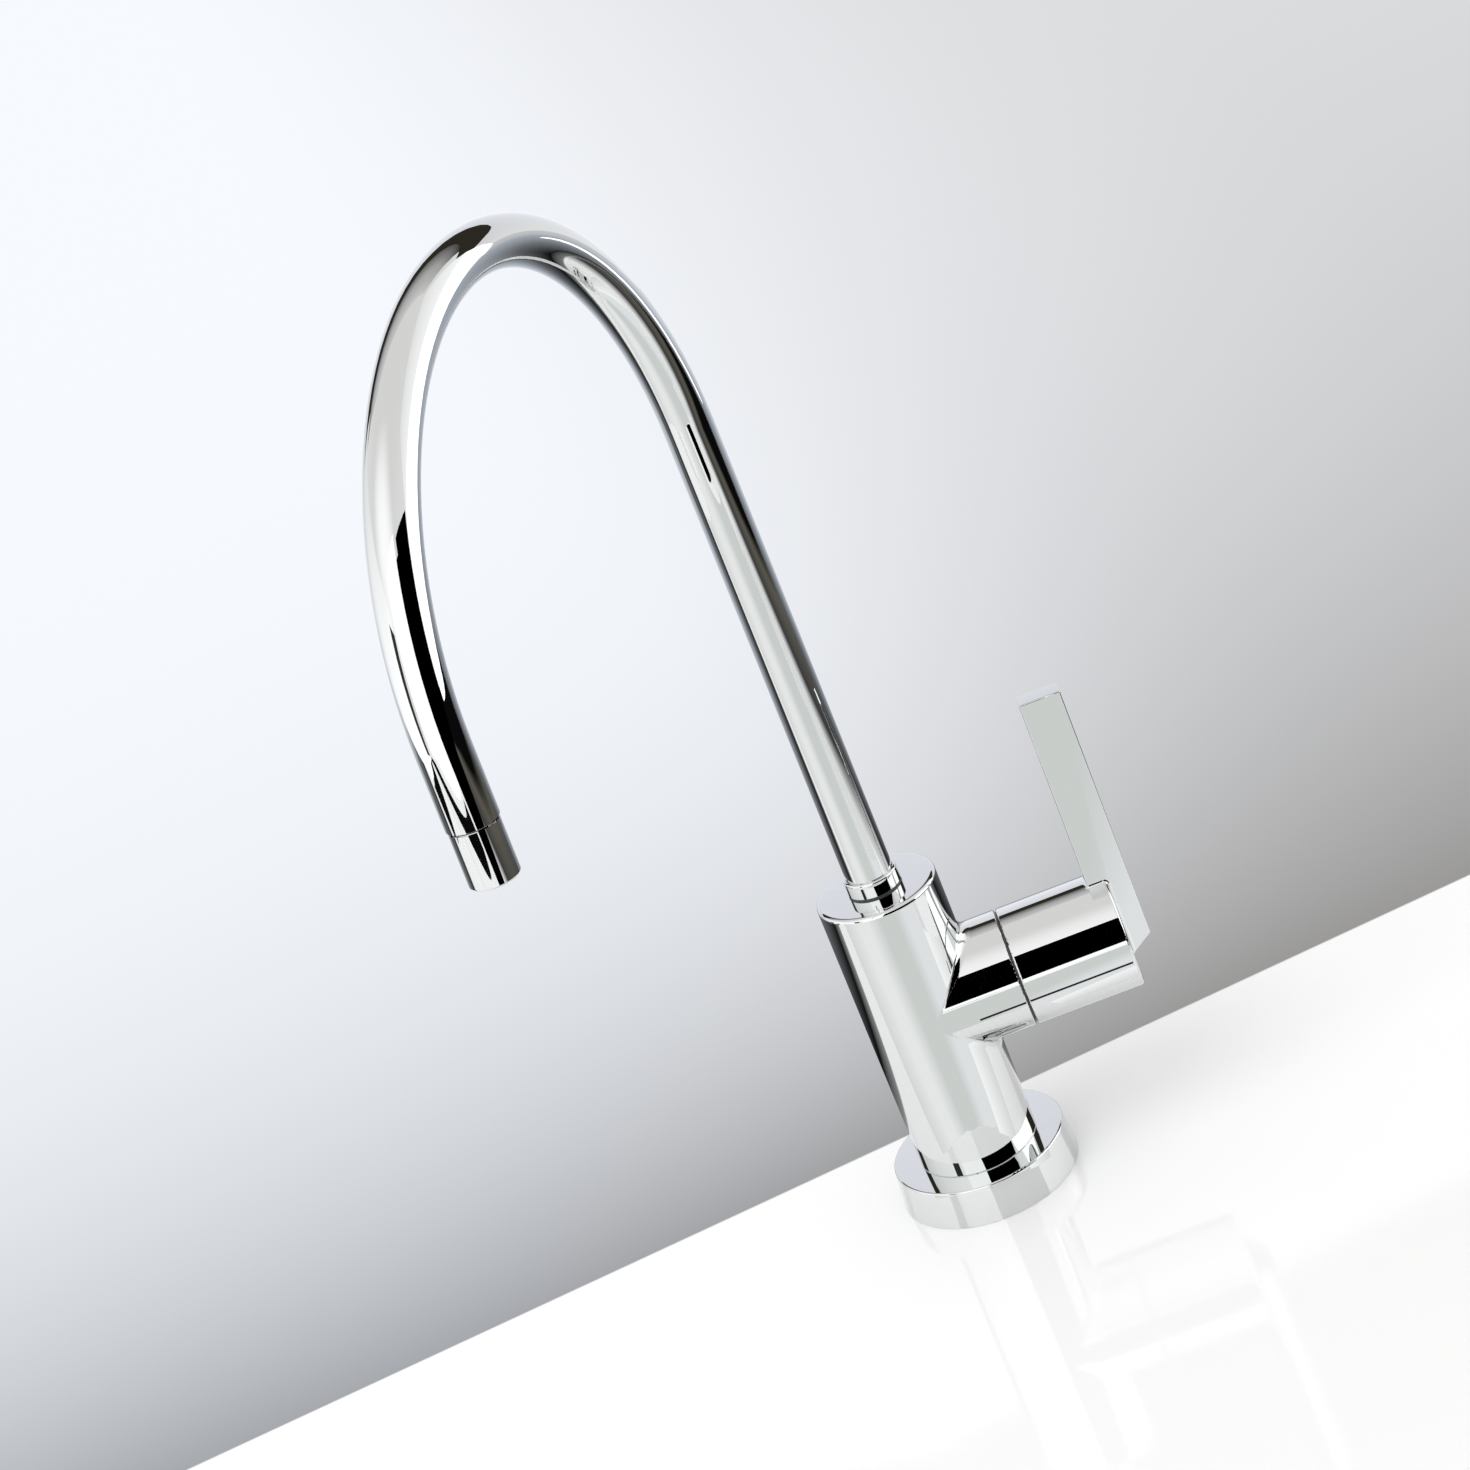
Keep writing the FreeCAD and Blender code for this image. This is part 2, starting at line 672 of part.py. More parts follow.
def cartridge_housing():
    """The valve's brass housing: a cage for the discs, a thread, a hexagon and a neck."""
    body = new_body("cartridge_housing")
    bore = "(spindle_radius + running_clearance)"
    turned(body, "shell", [
        ("valve_bore_floor + cage_start_gap", "cage_bore_radius"),
        ("valve_bore_floor + cage_start_gap", "cage_radius"),
        (CHAMBER_END, "cage_radius"),
        (CHAMBER_END, "valve_thread_radius - thread_clearance"),
        ("boss_end", "valve_thread_radius - thread_clearance"),
        ("boss_end", "valve_neck_radius"),
        (VALVE_NECK_END, "valve_neck_radius"),
        (VALVE_NECK_END, bore),
        (SPINDLE_FOOT_END + " + running_clearance", bore),
        (SPINDLE_FOOT_END + " + running_clearance", "cage_bore_radius"),
    ], axis="H_Axis", height="valve_height")

    def spanner_hexagon(sketch):
        """Draw the hexagon with the hole for the shell."""
        corners = hexagon("valve_flange_flats", turn=30)
        outline(sketch, [(x, "valve_height + " + y) for x, y in corners])
        circle(sketch, "valve_neck_radius - tube_wall", "0", "valve_height")

    padded(body, "spanner_hexagon", "YZ_Plane", spanner_hexagon, "valve_flange_thickness",
           offset="boss_end")

    def window(sketch):
        """Draw the window that lets the water out of the cage."""
        start = "(%s - cage_window_length / 2)" % MOVING_DISC_END
        end = "(%s + cage_window_length / 2)" % MOVING_DISC_END
        outline(sketch, [
            (start, "-cage_window_width / 2"),
            (end, "-cage_window_width / 2"),
            (end, "cage_window_width / 2"),
            (start, "cage_window_width / 2"),
        ])

    pocketed(body, "windows", "XY_Plane", window, "2 * (cage_radius + 1)",
             offset="valve_height", both_ways=True)
    return body


def ceramic_disc(label, start, first_port):
    """One ceramic disc with two opposite ports, its first port centred at an angle."""
    disc = doc.addObject("Part::Cylinder", label + "_blank")
    bind(disc, "Radius", "cage_bore_radius - seat_clearance")
    bind(disc, "Height", "disc_thickness")
    tools = []
    for place, angle in enumerate((first_port, first_port + 180)):
        sector = doc.addObject("Part::Cylinder", "%s_port_%d" % (label, place))
        bind(sector, "Radius", "disc_port_outer")
        bind(sector, "Height", "disc_thickness")
        bind(sector, "Angle", "disc_port_sweep")
        sector.Placement.Rotation = FreeCAD.Rotation(FreeCAD.Vector(0, 0, 1), 1)
        bind(sector, "Placement.Rotation.Angle", "%d - disc_port_sweep / 2" % angle)
        tools.append(sector)
    ports = doc.addObject("Part::MultiFuse", label + "_ports")
    ports.Shapes = tools
    core = doc.addObject("Part::Cylinder", label + "_core")
    bind(core, "Radius", "disc_port_inner")
    bind(core, "Height", "disc_thickness")
    rim_ports = doc.addObject("Part::Cut", label + "_rim_ports")
    rim_ports.Base = ports
    rim_ports.Tool = core
    piece = doc.addObject("Part::Cut", label)
    piece.Label = label
    piece.Base = disc
    piece.Tool = rim_ports
    piece.Placement.Rotation = FreeCAD.Rotation(FreeCAD.Vector(0, 1, 0), 90)
    bind(piece, "Placement.Base.x", start)
    bind(piece, "Placement.Base.z", "valve_height")
    return piece


def cartridge_seat_seal():
    """The rubber ring between the valve's seat and the fixed disc."""
    body = new_body("cartridge_seat_seal")
    turned(body, "ring", [
        ("valve_bore_floor", "seat_seal_hole_radius"),
        (SEAL_END, "seat_seal_hole_radius"),
        (SEAL_END, "cage_bore_radius - seat_clearance"),
        ("valve_bore_floor", "cage_bore_radius - seat_clearance"),
    ], axis="H_Axis", height="valve_height")
    return body


def cartridge_spindle():
    """The brass spindle: a foot that drives the moving disc, two grooves and a flat."""
    body = new_body("cartridge_spindle")
    groove_radius = "(spindle_radius - spindle_groove_depth)"
    ring_end = "(spindle_ring_start + spindle_groove_width)"
    clip_end = "(%s + circlip_thickness + 2 * running_clearance)" % VALVE_NECK_END
    turned(body, "shaft", [
        (MOVING_DISC_END, "0"),
        (MOVING_DISC_END, "spindle_foot_radius"),
        (SPINDLE_FOOT_END, "spindle_foot_radius"),
        (SPINDLE_FOOT_END, "spindle_radius"),
        ("spindle_ring_start", "spindle_radius"),
        ("spindle_ring_start", groove_radius),
        (ring_end, groove_radius),
        (ring_end, "spindle_radius"),
        (VALVE_NECK_END, "spindle_radius"),
        (VALVE_NECK_END, groove_radius),
        (clip_end, groove_radius),
        (clip_end, "spindle_radius"),
        (SPINDLE_END, "spindle_radius"),
        (SPINDLE_END, "0"),
    ], axis="H_Axis", height="valve_height")

    def screw_flat(sketch):
        """Draw the flat that the grub screw bears on."""
        outline(sketch, [
            (HUB_START + " + hub_skirt_depth", "-spindle_radius - 1"),
            (SPINDLE_END, "-spindle_radius - 1"),
            (SPINDLE_END, "spindle_radius + 1"),
            (HUB_START + " + hub_skirt_depth", "spindle_radius + 1"),
        ])

    pocketed(body, "screw_flat", "XY_Plane", screw_flat, "spindle_flat_depth + 1",
             offset="valve_height - " + GRUB_SEAT)
    return body


def spindle_circlip():
    """The open ring that keeps the spindle in its housing."""
    body = new_body("spindle_circlip")
    start = "(%s + running_clearance)" % VALVE_NECK_END
    inner = "(spindle_radius - spindle_groove_depth + seat_clearance)"
    turned(body, "ring", [
        (start, inner),
        (start + " + circlip_thickness", inner),
        (start + " + circlip_thickness", inner + " + circlip_width"),
        (start, inner + " + circlip_width"),
    ], axis="H_Axis", height="valve_height")

    def mouth(sketch):
        """Draw the clip's mouth."""
        outline(sketch, [
            ("-circlip_mouth / 2", "valve_height"),
            ("circlip_mouth / 2", "valve_height"),
            ("circlip_mouth / 2", "valve_height + 2 * spindle_radius"),
            ("-circlip_mouth / 2", "valve_height + 2 * spindle_radius"),
        ])

    pocketed(body, "mouth", "YZ_Plane", mouth, "2 * circlip_thickness",
             offset="%s + circlip_thickness / 2" % start, both_ways=True)
    return body


def spout_bush():
    """The turned bush at the spout's foot: a coved collar, a grooved barrel and a spigot."""
    body = new_body("spout_bush")

    def groove(depth):
        """List the corners of one ring groove at a depth below the body's top."""
        top = "(body_top - %s + ring_groove_width / 2)" % depth
        bottom = "(body_top - %s - ring_groove_width / 2)" % depth
        return [(BARREL_RADIUS, top), (GROOVE_RADIUS, top),
                (GROOVE_RADIUS, bottom), (BARREL_RADIUS, bottom)]

    flare = "(collar_radius - tube_radius - seat_clearance)"
    drop = "(collar_height - collar_land)"
    cove_radius = "((%s ^ 2 + %s ^ 2) / (2 * %s))" % (flare, drop, flare)
    corners = [
        ("bush_bore_radius", TUBE_FOOT + " + bush_spigot_length"),
        (TUBE_BORE + " - seat_clearance", TUBE_FOOT + " + bush_spigot_length"),
        (TUBE_BORE + " - seat_clearance", TUBE_FOOT),
        ("tube_radius + seat_clearance", TUBE_FOOT),
        ("tube_radius + seat_clearance", COLLAR_FOOT + " + collar_height", cove_radius),
    ]
    corners += [
        ("collar_radius", COLLAR_FOOT + " + collar_land"),
        ("collar_radius", COLLAR_FOOT),
        (BARREL_RADIUS, COLLAR_FOOT),
    ]
    corners += groove("upper_ring_depth")
    corners += groove("lower_ring_depth")
    corners += groove("snap_ring_depth")
    corners += [
        (BARREL_RADIUS, "body_top - bush_length"),
        ("bush_bore_radius", "body_top - bush_length"),
    ]
    turned(body, "turning", corners)
    face_the_spout(body)
    return body


def spout_tube():
    """The gooseneck: one tube bent to a tall arch, with a short straight end."""
    body = new_body("spout_tube")
    path = attached_sketch(body, "path", "XZ_Plane")
    foot = FreeCAD.Vector(0, number(TUBE_FOOT), 0)
    shoulder = FreeCAD.Vector(0, number("tube_straight_top"), 0)
    centre = FreeCAD.Vector(number("arch_radius"), number("tube_straight_top"), 0)
    arch_end = FreeCAD.Vector(number(ARCH_OUT), number(ARCH_UP), 0)
    tube_end = FreeCAD.Vector(number(TUBE_END_OUT), number(TUBE_END_UP), 0)
    riser = path.addGeometry(Part.LineSegment(foot, shoulder), False)
    round_arch = Part.Circle(centre, FreeCAD.Vector(0, 0, 1), number("arch_radius"))
    opening = math.radians(180 - number("arch_angle"))
    arch = path.addGeometry(Part.ArcOfCircle(round_arch, opening, math.pi), False)
    run_out = path.addGeometry(Part.LineSegment(arch_end, tube_end), False)
    pin_point(path, riser, 1, "0", TUBE_FOOT)
    pin_point(path, riser, 2, "0", "tube_straight_top")
    pin_point(path, arch, 3, "arch_radius", "tube_straight_top")
    path.addConstraint(Sketcher.Constraint("Coincident", riser, 2, arch, 2))
    path.addConstraint(Sketcher.Constraint("Coincident", arch, 1, run_out, 1))
    level = path.addConstraint(Sketcher.Constraint("DistanceY", -1, 1, arch, 1, number(ARCH_UP)))
    bind(path, "Constraints[%d]" % level, ARCH_UP)
    pin_point(path, run_out, 2, TUBE_END_OUT, TUBE_END_UP)
    section = attached_sketch(body, "section", "XY_Plane")
    shift(section, z=TUBE_FOOT)
    circle(section, "tube_radius")
    circle(section, TUBE_BORE)
    pipe = body.newObject("PartDesign::AdditivePipe", "pipe")
    pipe.Profile = section
    pipe.Spine = path
    doc.recompute()
    outlet_end = FreeCAD.Vector(tube_end.x, 0, tube_end.y)
    girth = 2 * math.pi * number("tube_radius")

    def on_the_outlet(edge):
        """Pick the outer edge of the tube's outlet end."""
        return near(edge.Length, girth) and near((edge.CenterOfMass - outlet_end).Length, 0)

    round_edges(body, "outlet_break", on_the_outlet, "tube_end_break", chamfer=True)
    face_the_spout(body)
    return body


def spout_snap_ring():
    """The open spring ring that locks the bush into the body's socket."""
    ring = doc.addObject("Part::Torus", "spout_snap_ring")
    ring.Label = "spout_snap_ring"
    bind(ring, "Radius1", "spout_socket_radius")
    bind(ring, "Radius2", "snap_ring_wire / 2")
    bind(ring, "Angle3", "360 deg - 2 * asin(snap_ring_mouth / 2 / spout_socket_radius)")
    bind(ring, "Placement.Base.z", "body_top - snap_ring_depth")
    return ring


def spout_bearing_washer():
    """The thin dark washer that the spout's collar turns on."""
    body = new_body("spout_bearing_washer")
    turned(body, "ring", [
        (BARREL_RADIUS + " + seat_clearance", "body_top"),
        ("collar_radius - seat_clearance", "body_top"),
        ("collar_radius - seat_clearance", COLLAR_FOOT),
        (BARREL_RADIUS + " + seat_clearance", COLLAR_FOOT),
    ])
    return body


def at_the_outlet(body, name, corners):
    """Turn an outline about the outlet's axis, with y measured along the stream."""
    feature = turned(body, name, corners, turn="arch_angle", base=(TUBE_END_OUT, TUBE_END_UP))
    face_the_spout(body)
    return feature


def outlet_tip():
    """The short sleeve on the tube's end, with a spigot up inside the tube."""
    body = new_body("outlet_tip")
    spigot = "(%s - seat_clearance)" % TUBE_BORE
    at_the_outlet(body, "sleeve", [
        ("tip_spigot_bore", "-tip_spigot_length"),
        (spigot, "-tip_spigot_length"),
        (spigot, "tip_joint_gap"),
        ("tip_radius", "tip_joint_gap"),
        ("tip_radius", "tip_length - tip_edge_round", "tip_edge_round"),
        ("tip_radius - tip_edge_round", "tip_length"),
        ("tip_bore_radius", "tip_length"),
        ("tip_bore_radius", SEAL_START),
        ("tip_spigot_bore", SEAL_START),
    ])
    return body


def outlet_seal():
    """The rubber ring above the screen."""
    body = new_body("outlet_seal")
    at_the_outlet(body, "ring", [
        ("tip_spigot_bore", SEAL_START),
        ("tip_bore_radius - seat_clearance", SEAL_START),
        ("tip_bore_radius - seat_clearance", SCREEN_START),
        ("tip_spigot_bore", SCREEN_START),
    ])
    return body


def drilled_insert(label, start, end, hole_radius, pitch, rings):
    """A round insert in the outlet, drilled with rings of small holes along the stream."""
    body = new_body(label)
    at_the_outlet(body, "blank", [
        ("0", start),
        ("tip_bore_radius - seat_clearance", start),
        ("tip_bore_radius - seat_clearance", end),
        ("0", end),
    ])
    sketch = attached_sketch(body, "holes_profile", "XY_Plane")
    tilt = FreeCAD.Rotation(FreeCAD.Vector(0, 1, 0), number("arch_angle"))
    sketch.AttachmentOffset = FreeCAD.Placement(FreeCAD.Vector(), tilt)
    bind(sketch, "AttachmentOffset.Rotation.Angle", "arch_angle")
    shift(sketch, "%s + %s * sin(arch_angle)" % (TUBE_END_OUT, end), "0",
          "%s + %s * cos(arch_angle)" % (TUBE_END_UP, end))
    for ring in range(rings + 1):
        count = max(6 * ring, 1)
        for step in range(count):
            angle = 360 * step / count
            circle(sketch, hole_radius, "%d * %s * cos(%g)" % (ring, pitch, angle),
                   "%d * %s * sin(%g)" % (ring, pitch, angle))
    before = body.Shape.Volume
    holes = body.newObject("PartDesign::Pocket", "holes")
    holes.Profile = sketch
    bind(holes, "Length", "%s - %s" % (end, start))
    doc.recompute()
    if not holes.Shape.Volume < before:
        raise RuntimeError(label + " has no holes")
    return body


def threaded_shank():
    """The hollow stud: a hexagon under the flange's roof, and a smaller thread at its foot."""
    body = new_body("threaded_shank")
    foot = "(-shank_below_deck)"
    relief_foot = "(%s + inlet_thread_length)" % foot
    relief_top = "(%s + inlet_relief_width)" % relief_foot
    turned(body, "stud", [
        ("shank_bore_radius", "shank_above_deck"),
        ("shank_radius - shank_chamfer", "shank_above_deck"),
        ("shank_radius", "shank_above_deck - shank_chamfer"),
        ("shank_radius", relief_top),
        ("inlet_relief_radius", relief_top),
        ("inlet_relief_radius", relief_foot),
        ("inlet_thread_radius", relief_foot),
        ("inlet_thread_radius", foot + " + shank_chamfer"),
        ("inlet_thread_radius - shank_chamfer", foot),
        ("shank_bore_radius", foot),
    ])

    def spanner_hexagon(sketch):
        """Draw the hexagon with the hole for the stud."""
        outline(sketch, hexagon("shank_hex_flats"))
        circle(sketch, "shank_radius - shank_chamfer")

    padded(body, "spanner_hexagon", "XY_Plane", spanner_hexagon, "shank_hex_height",
           offset=FLANGE_ROOF_UNDERSIDE, back=True)
    return body


def deck_rubber_washer():
    """The rubber washer under the deck."""
    body = new_body("deck_rubber_washer")
    turned(body, "ring", [
        (SHANK_HOLE_RADIUS, "-deck_thickness"),
        ("deck_washer_radius", "-deck_thickness"),
        ("deck_washer_radius", RUBBER_WASHER_UNDERSIDE),
        (SHANK_HOLE_RADIUS, RUBBER_WASHER_UNDERSIDE),
    ])
    return body


def deck_steel_washer():
    """The stamped steel washer, open at one side so that it slips onto the stud."""
    body = new_body("deck_steel_washer")
    turned(body, "ring", [
        (SHANK_HOLE_RADIUS, RUBBER_WASHER_UNDERSIDE),
        ("deck_washer_radius", RUBBER_WASHER_UNDERSIDE),
        ("deck_washer_radius", STEEL_WASHER_UNDERSIDE),
        (SHANK_HOLE_RADIUS, STEEL_WASHER_UNDERSIDE),
    ])

    def mouth(sketch):
        """Draw the open side, as wide as the hole."""
        outline(sketch, [
            ("0", "-" + SHANK_HOLE_RADIUS),
            ("deck_washer_radius + 1", "-" + SHANK_HOLE_RADIUS),
            ("deck_washer_radius + 1", SHANK_HOLE_RADIUS),
            ("0", SHANK_HOLE_RADIUS),
        ])

    pocketed(body, "mouth", "XY_Plane", mouth, "2 * steel_washer_thickness",
             offset=RUBBER_WASHER_UNDERSIDE + " + steel_washer_thickness / 4")
    return body


def lock_washer():
    """The split spring washer between the steel washer and the nut."""
    body = new_body("lock_washer")
    turned(body, "ring", [
        (SHANK_HOLE_RADIUS, STEEL_WASHER_UNDERSIDE),
        ("lock_washer_radius", STEEL_WASHER_UNDERSIDE),
        ("lock_washer_radius", LOCK_WASHER_UNDERSIDE),
        (SHANK_HOLE_RADIUS, LOCK_WASHER_UNDERSIDE),
    ])

    def split(sketch):
        """Draw the slanting cut through the ring, seen from outside."""
        slant = "lock_washer_thickness / 2"
        margin = "lock_washer_thickness"
        top = "%s + %s" % (STEEL_WASHER_UNDERSIDE, margin)
        bottom = "%s - %s" % (LOCK_WASHER_UNDERSIDE, margin)
        outline(sketch, [
            ("-lock_washer_mouth / 2 - " + slant, bottom),
            ("lock_washer_mouth / 2 - " + slant, bottom),
            ("lock_washer_mouth / 2 + " + slant, top),
            ("-lock_washer_mouth / 2 + " + slant, top),
        ])

    pocketed(body, "split", "XZ_Plane", split, "lock_washer_radius + 1", offset="0")
    return body


def mounting_nut():
    """The hexagon nut on the stud, chamfered at both faces."""
    body = new_body("mounting_nut")

    def section(sketch):
        """Draw the hexagon and its threaded hole."""
        outline(sketch, hexagon("mounting_nut_flats"))
        circle(sketch, THREAD_HOLE_RADIUS)

    padded(body, "hexagon_bar", "XY_Plane", section, "mounting_nut_height",
           offset=LOCK_WASHER_UNDERSIDE, back=True)
    corner = "(mounting_nut_flats / sqrt(3))"
    flat = "(mounting_nut_flats / 2)"
    slope = "((%s - %s) * tan(30))" % (corner, flat)
    top = LOCK_WASHER_UNDERSIDE
    bottom = "(%s - mounting_nut_height)" % top
    for name, face, way in (("upper", top, "-"), ("lower", bottom, "+")):
        turned(body, name + "_chamfer", [
            (flat, face),
            (corner + " + 1", face),
            (corner + " + 1", "%s %s (%s + tan(30))" % (face, way, slope)),
        ], cut=True)
    return body


def all_the_pieces():
    """Make every piece, and list them in the order in which they go together."""
    body_seal_radius = "((cage_radius + valve_chamber_radius) / 2)"
    spindle_ring_centre = "(spindle_ring_start + spindle_groove_width / 2)"
    spindle_ring_radius = "(spindle_radius - spindle_groove_depth + valve_ring_wire / 2)"
    barrel_ring_radius = "(%s + ring_wire / 2 + seat_clearance)" % GROOVE_RADIUS
    pieces = [
        deck_flange(),
        flange_gasket(),
        body_casting(),
        boss_washer(),
        cartridge_seat_seal(),
        ceramic_disc("fixed_disc", SEAL_END, 0),
        ceramic_disc("moving_disc", FIXED_DISC_END, 90),
        cartridge_housing(),
        o_ring("cartridge_o_ring", body_seal_radius, "housing_ring_wire / 2",
               "%s - housing_ring_wire / 2" % CHAMBER_END, "valve_height", along_x=True),
        cartridge_spindle(),
        o_ring("spindle_o_ring", spindle_ring_radius, "valve_ring_wire / 2",
               spindle_ring_centre, "valve_height", along_x=True),
        spindle_circlip(),
        lever_handle(),
        handle_grub_screw(),
        spout_bearing_washer(),
        spout_bush(),
        o_ring("upper_spout_o_ring", barrel_ring_radius, "ring_wire / 2",
               z="body_top - upper_ring_depth"),
        o_ring("lower_spout_o_ring", barrel_ring_radius, "ring_wire / 2",
               z="body_top - lower_ring_depth"),
        spout_snap_ring(),
        spout_tube(),
        outlet_tip(),
        outlet_seal(),
        drilled_insert("outlet_screen", SCREEN_START, STRAIGHTENER_START,
                       "screen_hole_radius", "screen_pitch", 3),
        drilled_insert("flow_straightener", STRAIGHTENER_START,
                       "(tip_length - tip_mouth_recess)",
                       "straightener_hole_radius", "straightener_pitch", 2),
        threaded_shank(),
        o_ring("shank_o_ring", "shank_radius + shank_ring_wire / 2",
               "shank_ring_wire / 2 - seat_clearance",
               z="flange_height + shank_ring_wire / 2"),
        deck_rubber_washer(),
        deck_steel_washer(),
        lock_washer(),
        mounting_nut(),
    ]
    return pieces


def check_and_write(pieces):
    """Stop at the first fault in the document, then write one STEP file for each piece."""
    for item in doc.Objects:
        if "Invalid" in item.State or "Error" in item.State:
            raise RuntimeError("%s is %s" % (item.Label, item.State))
    os.makedirs("parts", exist_ok=True)
    for piece in pieces:
        if piece.Shape.isNull() or not piece.Shape.isValid():
            raise RuntimeError(piece.Label + " has no valid shape")
        if len(piece.Shape.Solids) != 1:
            raise RuntimeError(piece.Label + " isn't one solid")
        piece.Shape.exportStep("parts/%s.step" % piece.Label)


all_pieces = all_the_pieces()
doc.removeObject("calculator")
doc.recompute()
check_and_write(all_pieces)
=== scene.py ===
"""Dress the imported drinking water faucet: its finishes, its cut threads, and the studio round it.

The frame is the part's own: the origin is the centre of the flange's underside, +Z is up, +X
runs along the valve axis towards the handle, and the user stands on the side of -Y. Metres.
"""
from __future__ import annotations

import logging
import math
from dataclasses import dataclass, field
from enum import Enum
from typing import Sequence, Union

import bmesh
import bpy
from mathutils import Matrix, Vector

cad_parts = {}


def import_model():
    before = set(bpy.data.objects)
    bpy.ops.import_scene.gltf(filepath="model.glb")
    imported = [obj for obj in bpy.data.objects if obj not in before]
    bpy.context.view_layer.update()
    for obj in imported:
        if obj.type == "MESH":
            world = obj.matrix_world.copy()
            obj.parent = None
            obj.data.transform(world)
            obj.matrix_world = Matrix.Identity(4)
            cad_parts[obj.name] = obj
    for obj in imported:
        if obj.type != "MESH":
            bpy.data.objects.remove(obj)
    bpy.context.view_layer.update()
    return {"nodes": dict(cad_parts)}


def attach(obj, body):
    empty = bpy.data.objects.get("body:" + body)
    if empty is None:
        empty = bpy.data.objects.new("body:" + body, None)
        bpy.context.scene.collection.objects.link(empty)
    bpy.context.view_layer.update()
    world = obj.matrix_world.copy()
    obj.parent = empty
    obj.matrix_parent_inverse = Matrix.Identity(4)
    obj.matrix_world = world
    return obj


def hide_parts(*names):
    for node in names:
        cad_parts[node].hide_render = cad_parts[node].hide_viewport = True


LOG = logging.getLogger("water_faucet")
MM = 0.001
Colour = tuple[float, float, float]
Number = Union[float, "Channel"]


class Body(Enum):
    """The rigid bodies of the faucet, by the names that the part gives them."""

    FAUCET = "faucet_body"
    HANDLE = "handle"
    SPOUT = "spout"


class Slot(Enum):
    """The material slots that the part's record lists."""

    CHROME = "chrome"
    BRASS = "brass"
    STEEL = "steel"
    RUBBER = "rubber"
    ACETAL = "acetal"
    CERAMIC = "ceramic"


class ThreadInput(Enum):
    """The inputs of the geometry nodes that cut a thread, in metres but for the rows."""

    RADIUS = "Radius"
    PITCH = "Pitch"
    DEPTH = "Depth"
    LOW = "Low"
    HIGH = "High"
    BORE = "Bore"
    LOW_CHAMFER = "Low chamfer"
    HIGH_CHAMFER = "High chamfer"
    ROWS = "Rows"


class Channel:
    """One value in a shader, which adds Math nodes when it is used in an expression."""

    def __init__(self, shader: Shader, socket: bpy.types.NodeSocket) -> None:
        """Wrap a socket of a shader.

        Args:
            shader: the shader that the socket's node belongs to.
            socket: the output that carries the value.
        """
        self.shader = shader
        self.socket = socket

    def _math(self, operation: str, *values: Number) -> Channel:
        """Add one Math node.

        Args:
            operation: the node's operation.
            values: its inputs in order, as numbers or channels.

        Returns:
            The node's result.
        """
        node = self.shader.add("ShaderNodeMath", {"operation": operation},
                               dict(enumerate(values)))
        return Channel(self.shader, node.outputs[0])

    def __add__(self, other: Number) -> Channel:
        """Add two values."""
        return self._math("ADD", self, other)

    def __radd__(self, other: Number) -> Channel:
        """Add a value on the left."""
        return self._math("ADD", other, self)

    def __sub__(self, other: Number) -> Channel:
        """Take a value away."""
        return self._math("SUBTRACT", self, other)

    def __rsub__(self, other: Number) -> Channel:
        """Take this value away from another."""
        return self._math("SUBTRACT", other, self)

    def __mul__(self, other: Number) -> Channel:
        """Multiply two values."""
        return self._math("MULTIPLY", self, other)

    def __rmul__(self, other: Number) -> Channel:
        """Multiply by a value on the left."""
        return self._math("MULTIPLY", other, self)

    def __truediv__(self, other: Number) -> Channel:
        """Divide by a value."""
        return self._math("DIVIDE", self, other)

    def smaller(self, other: Number) -> Channel:
        """Take the smaller of two values."""
        return self._math("MINIMUM", self, other)

    def larger(self, other: Number) -> Channel:
        """Take the larger of two values."""
        return self._math("MAXIMUM", self, other)

    def root(self) -> Channel:
        """Take the square root."""
        return self._math("SQRT", self)

    def exponent(self) -> Channel:
        """Raise e to this value."""
        return self._math("EXPONENT", self)

    def sine(self) -> Channel:
        """Take the sine of an angle in radians."""
        return self._math("SINE", self)

    def cosine(self) -> Channel:
        """Take the cosine of an angle in radians."""
        return self._math("COSINE", self)

    def whole(self) -> Channel:
        """Round to the nearest whole number."""
        return self._math("ROUND", self)

    def fraction(self) -> Channel:
        """Keep what follows the decimal point."""
        return self._math("FRACT", self)

    def size(self) -> Channel:
        """Drop the sign."""
        return self._math("ABSOLUTE", self)

    def step(self, low: float, high: float) -> Channel:
        """Rise smoothly from 0 at low to 1 at high.

        Args:
            low: the value at which the result leaves 0.
            high: the value at which the result reaches 1.

        Returns:
            The result between 0 and 1.
        """
        node = self.shader.add("ShaderNodeMapRange", {"interpolation_type": "SMOOTHSTEP"},
                               {"Value": self, "From Min": low, "From Max": high})
        return Channel(self.shader, node.outputs["Result"])


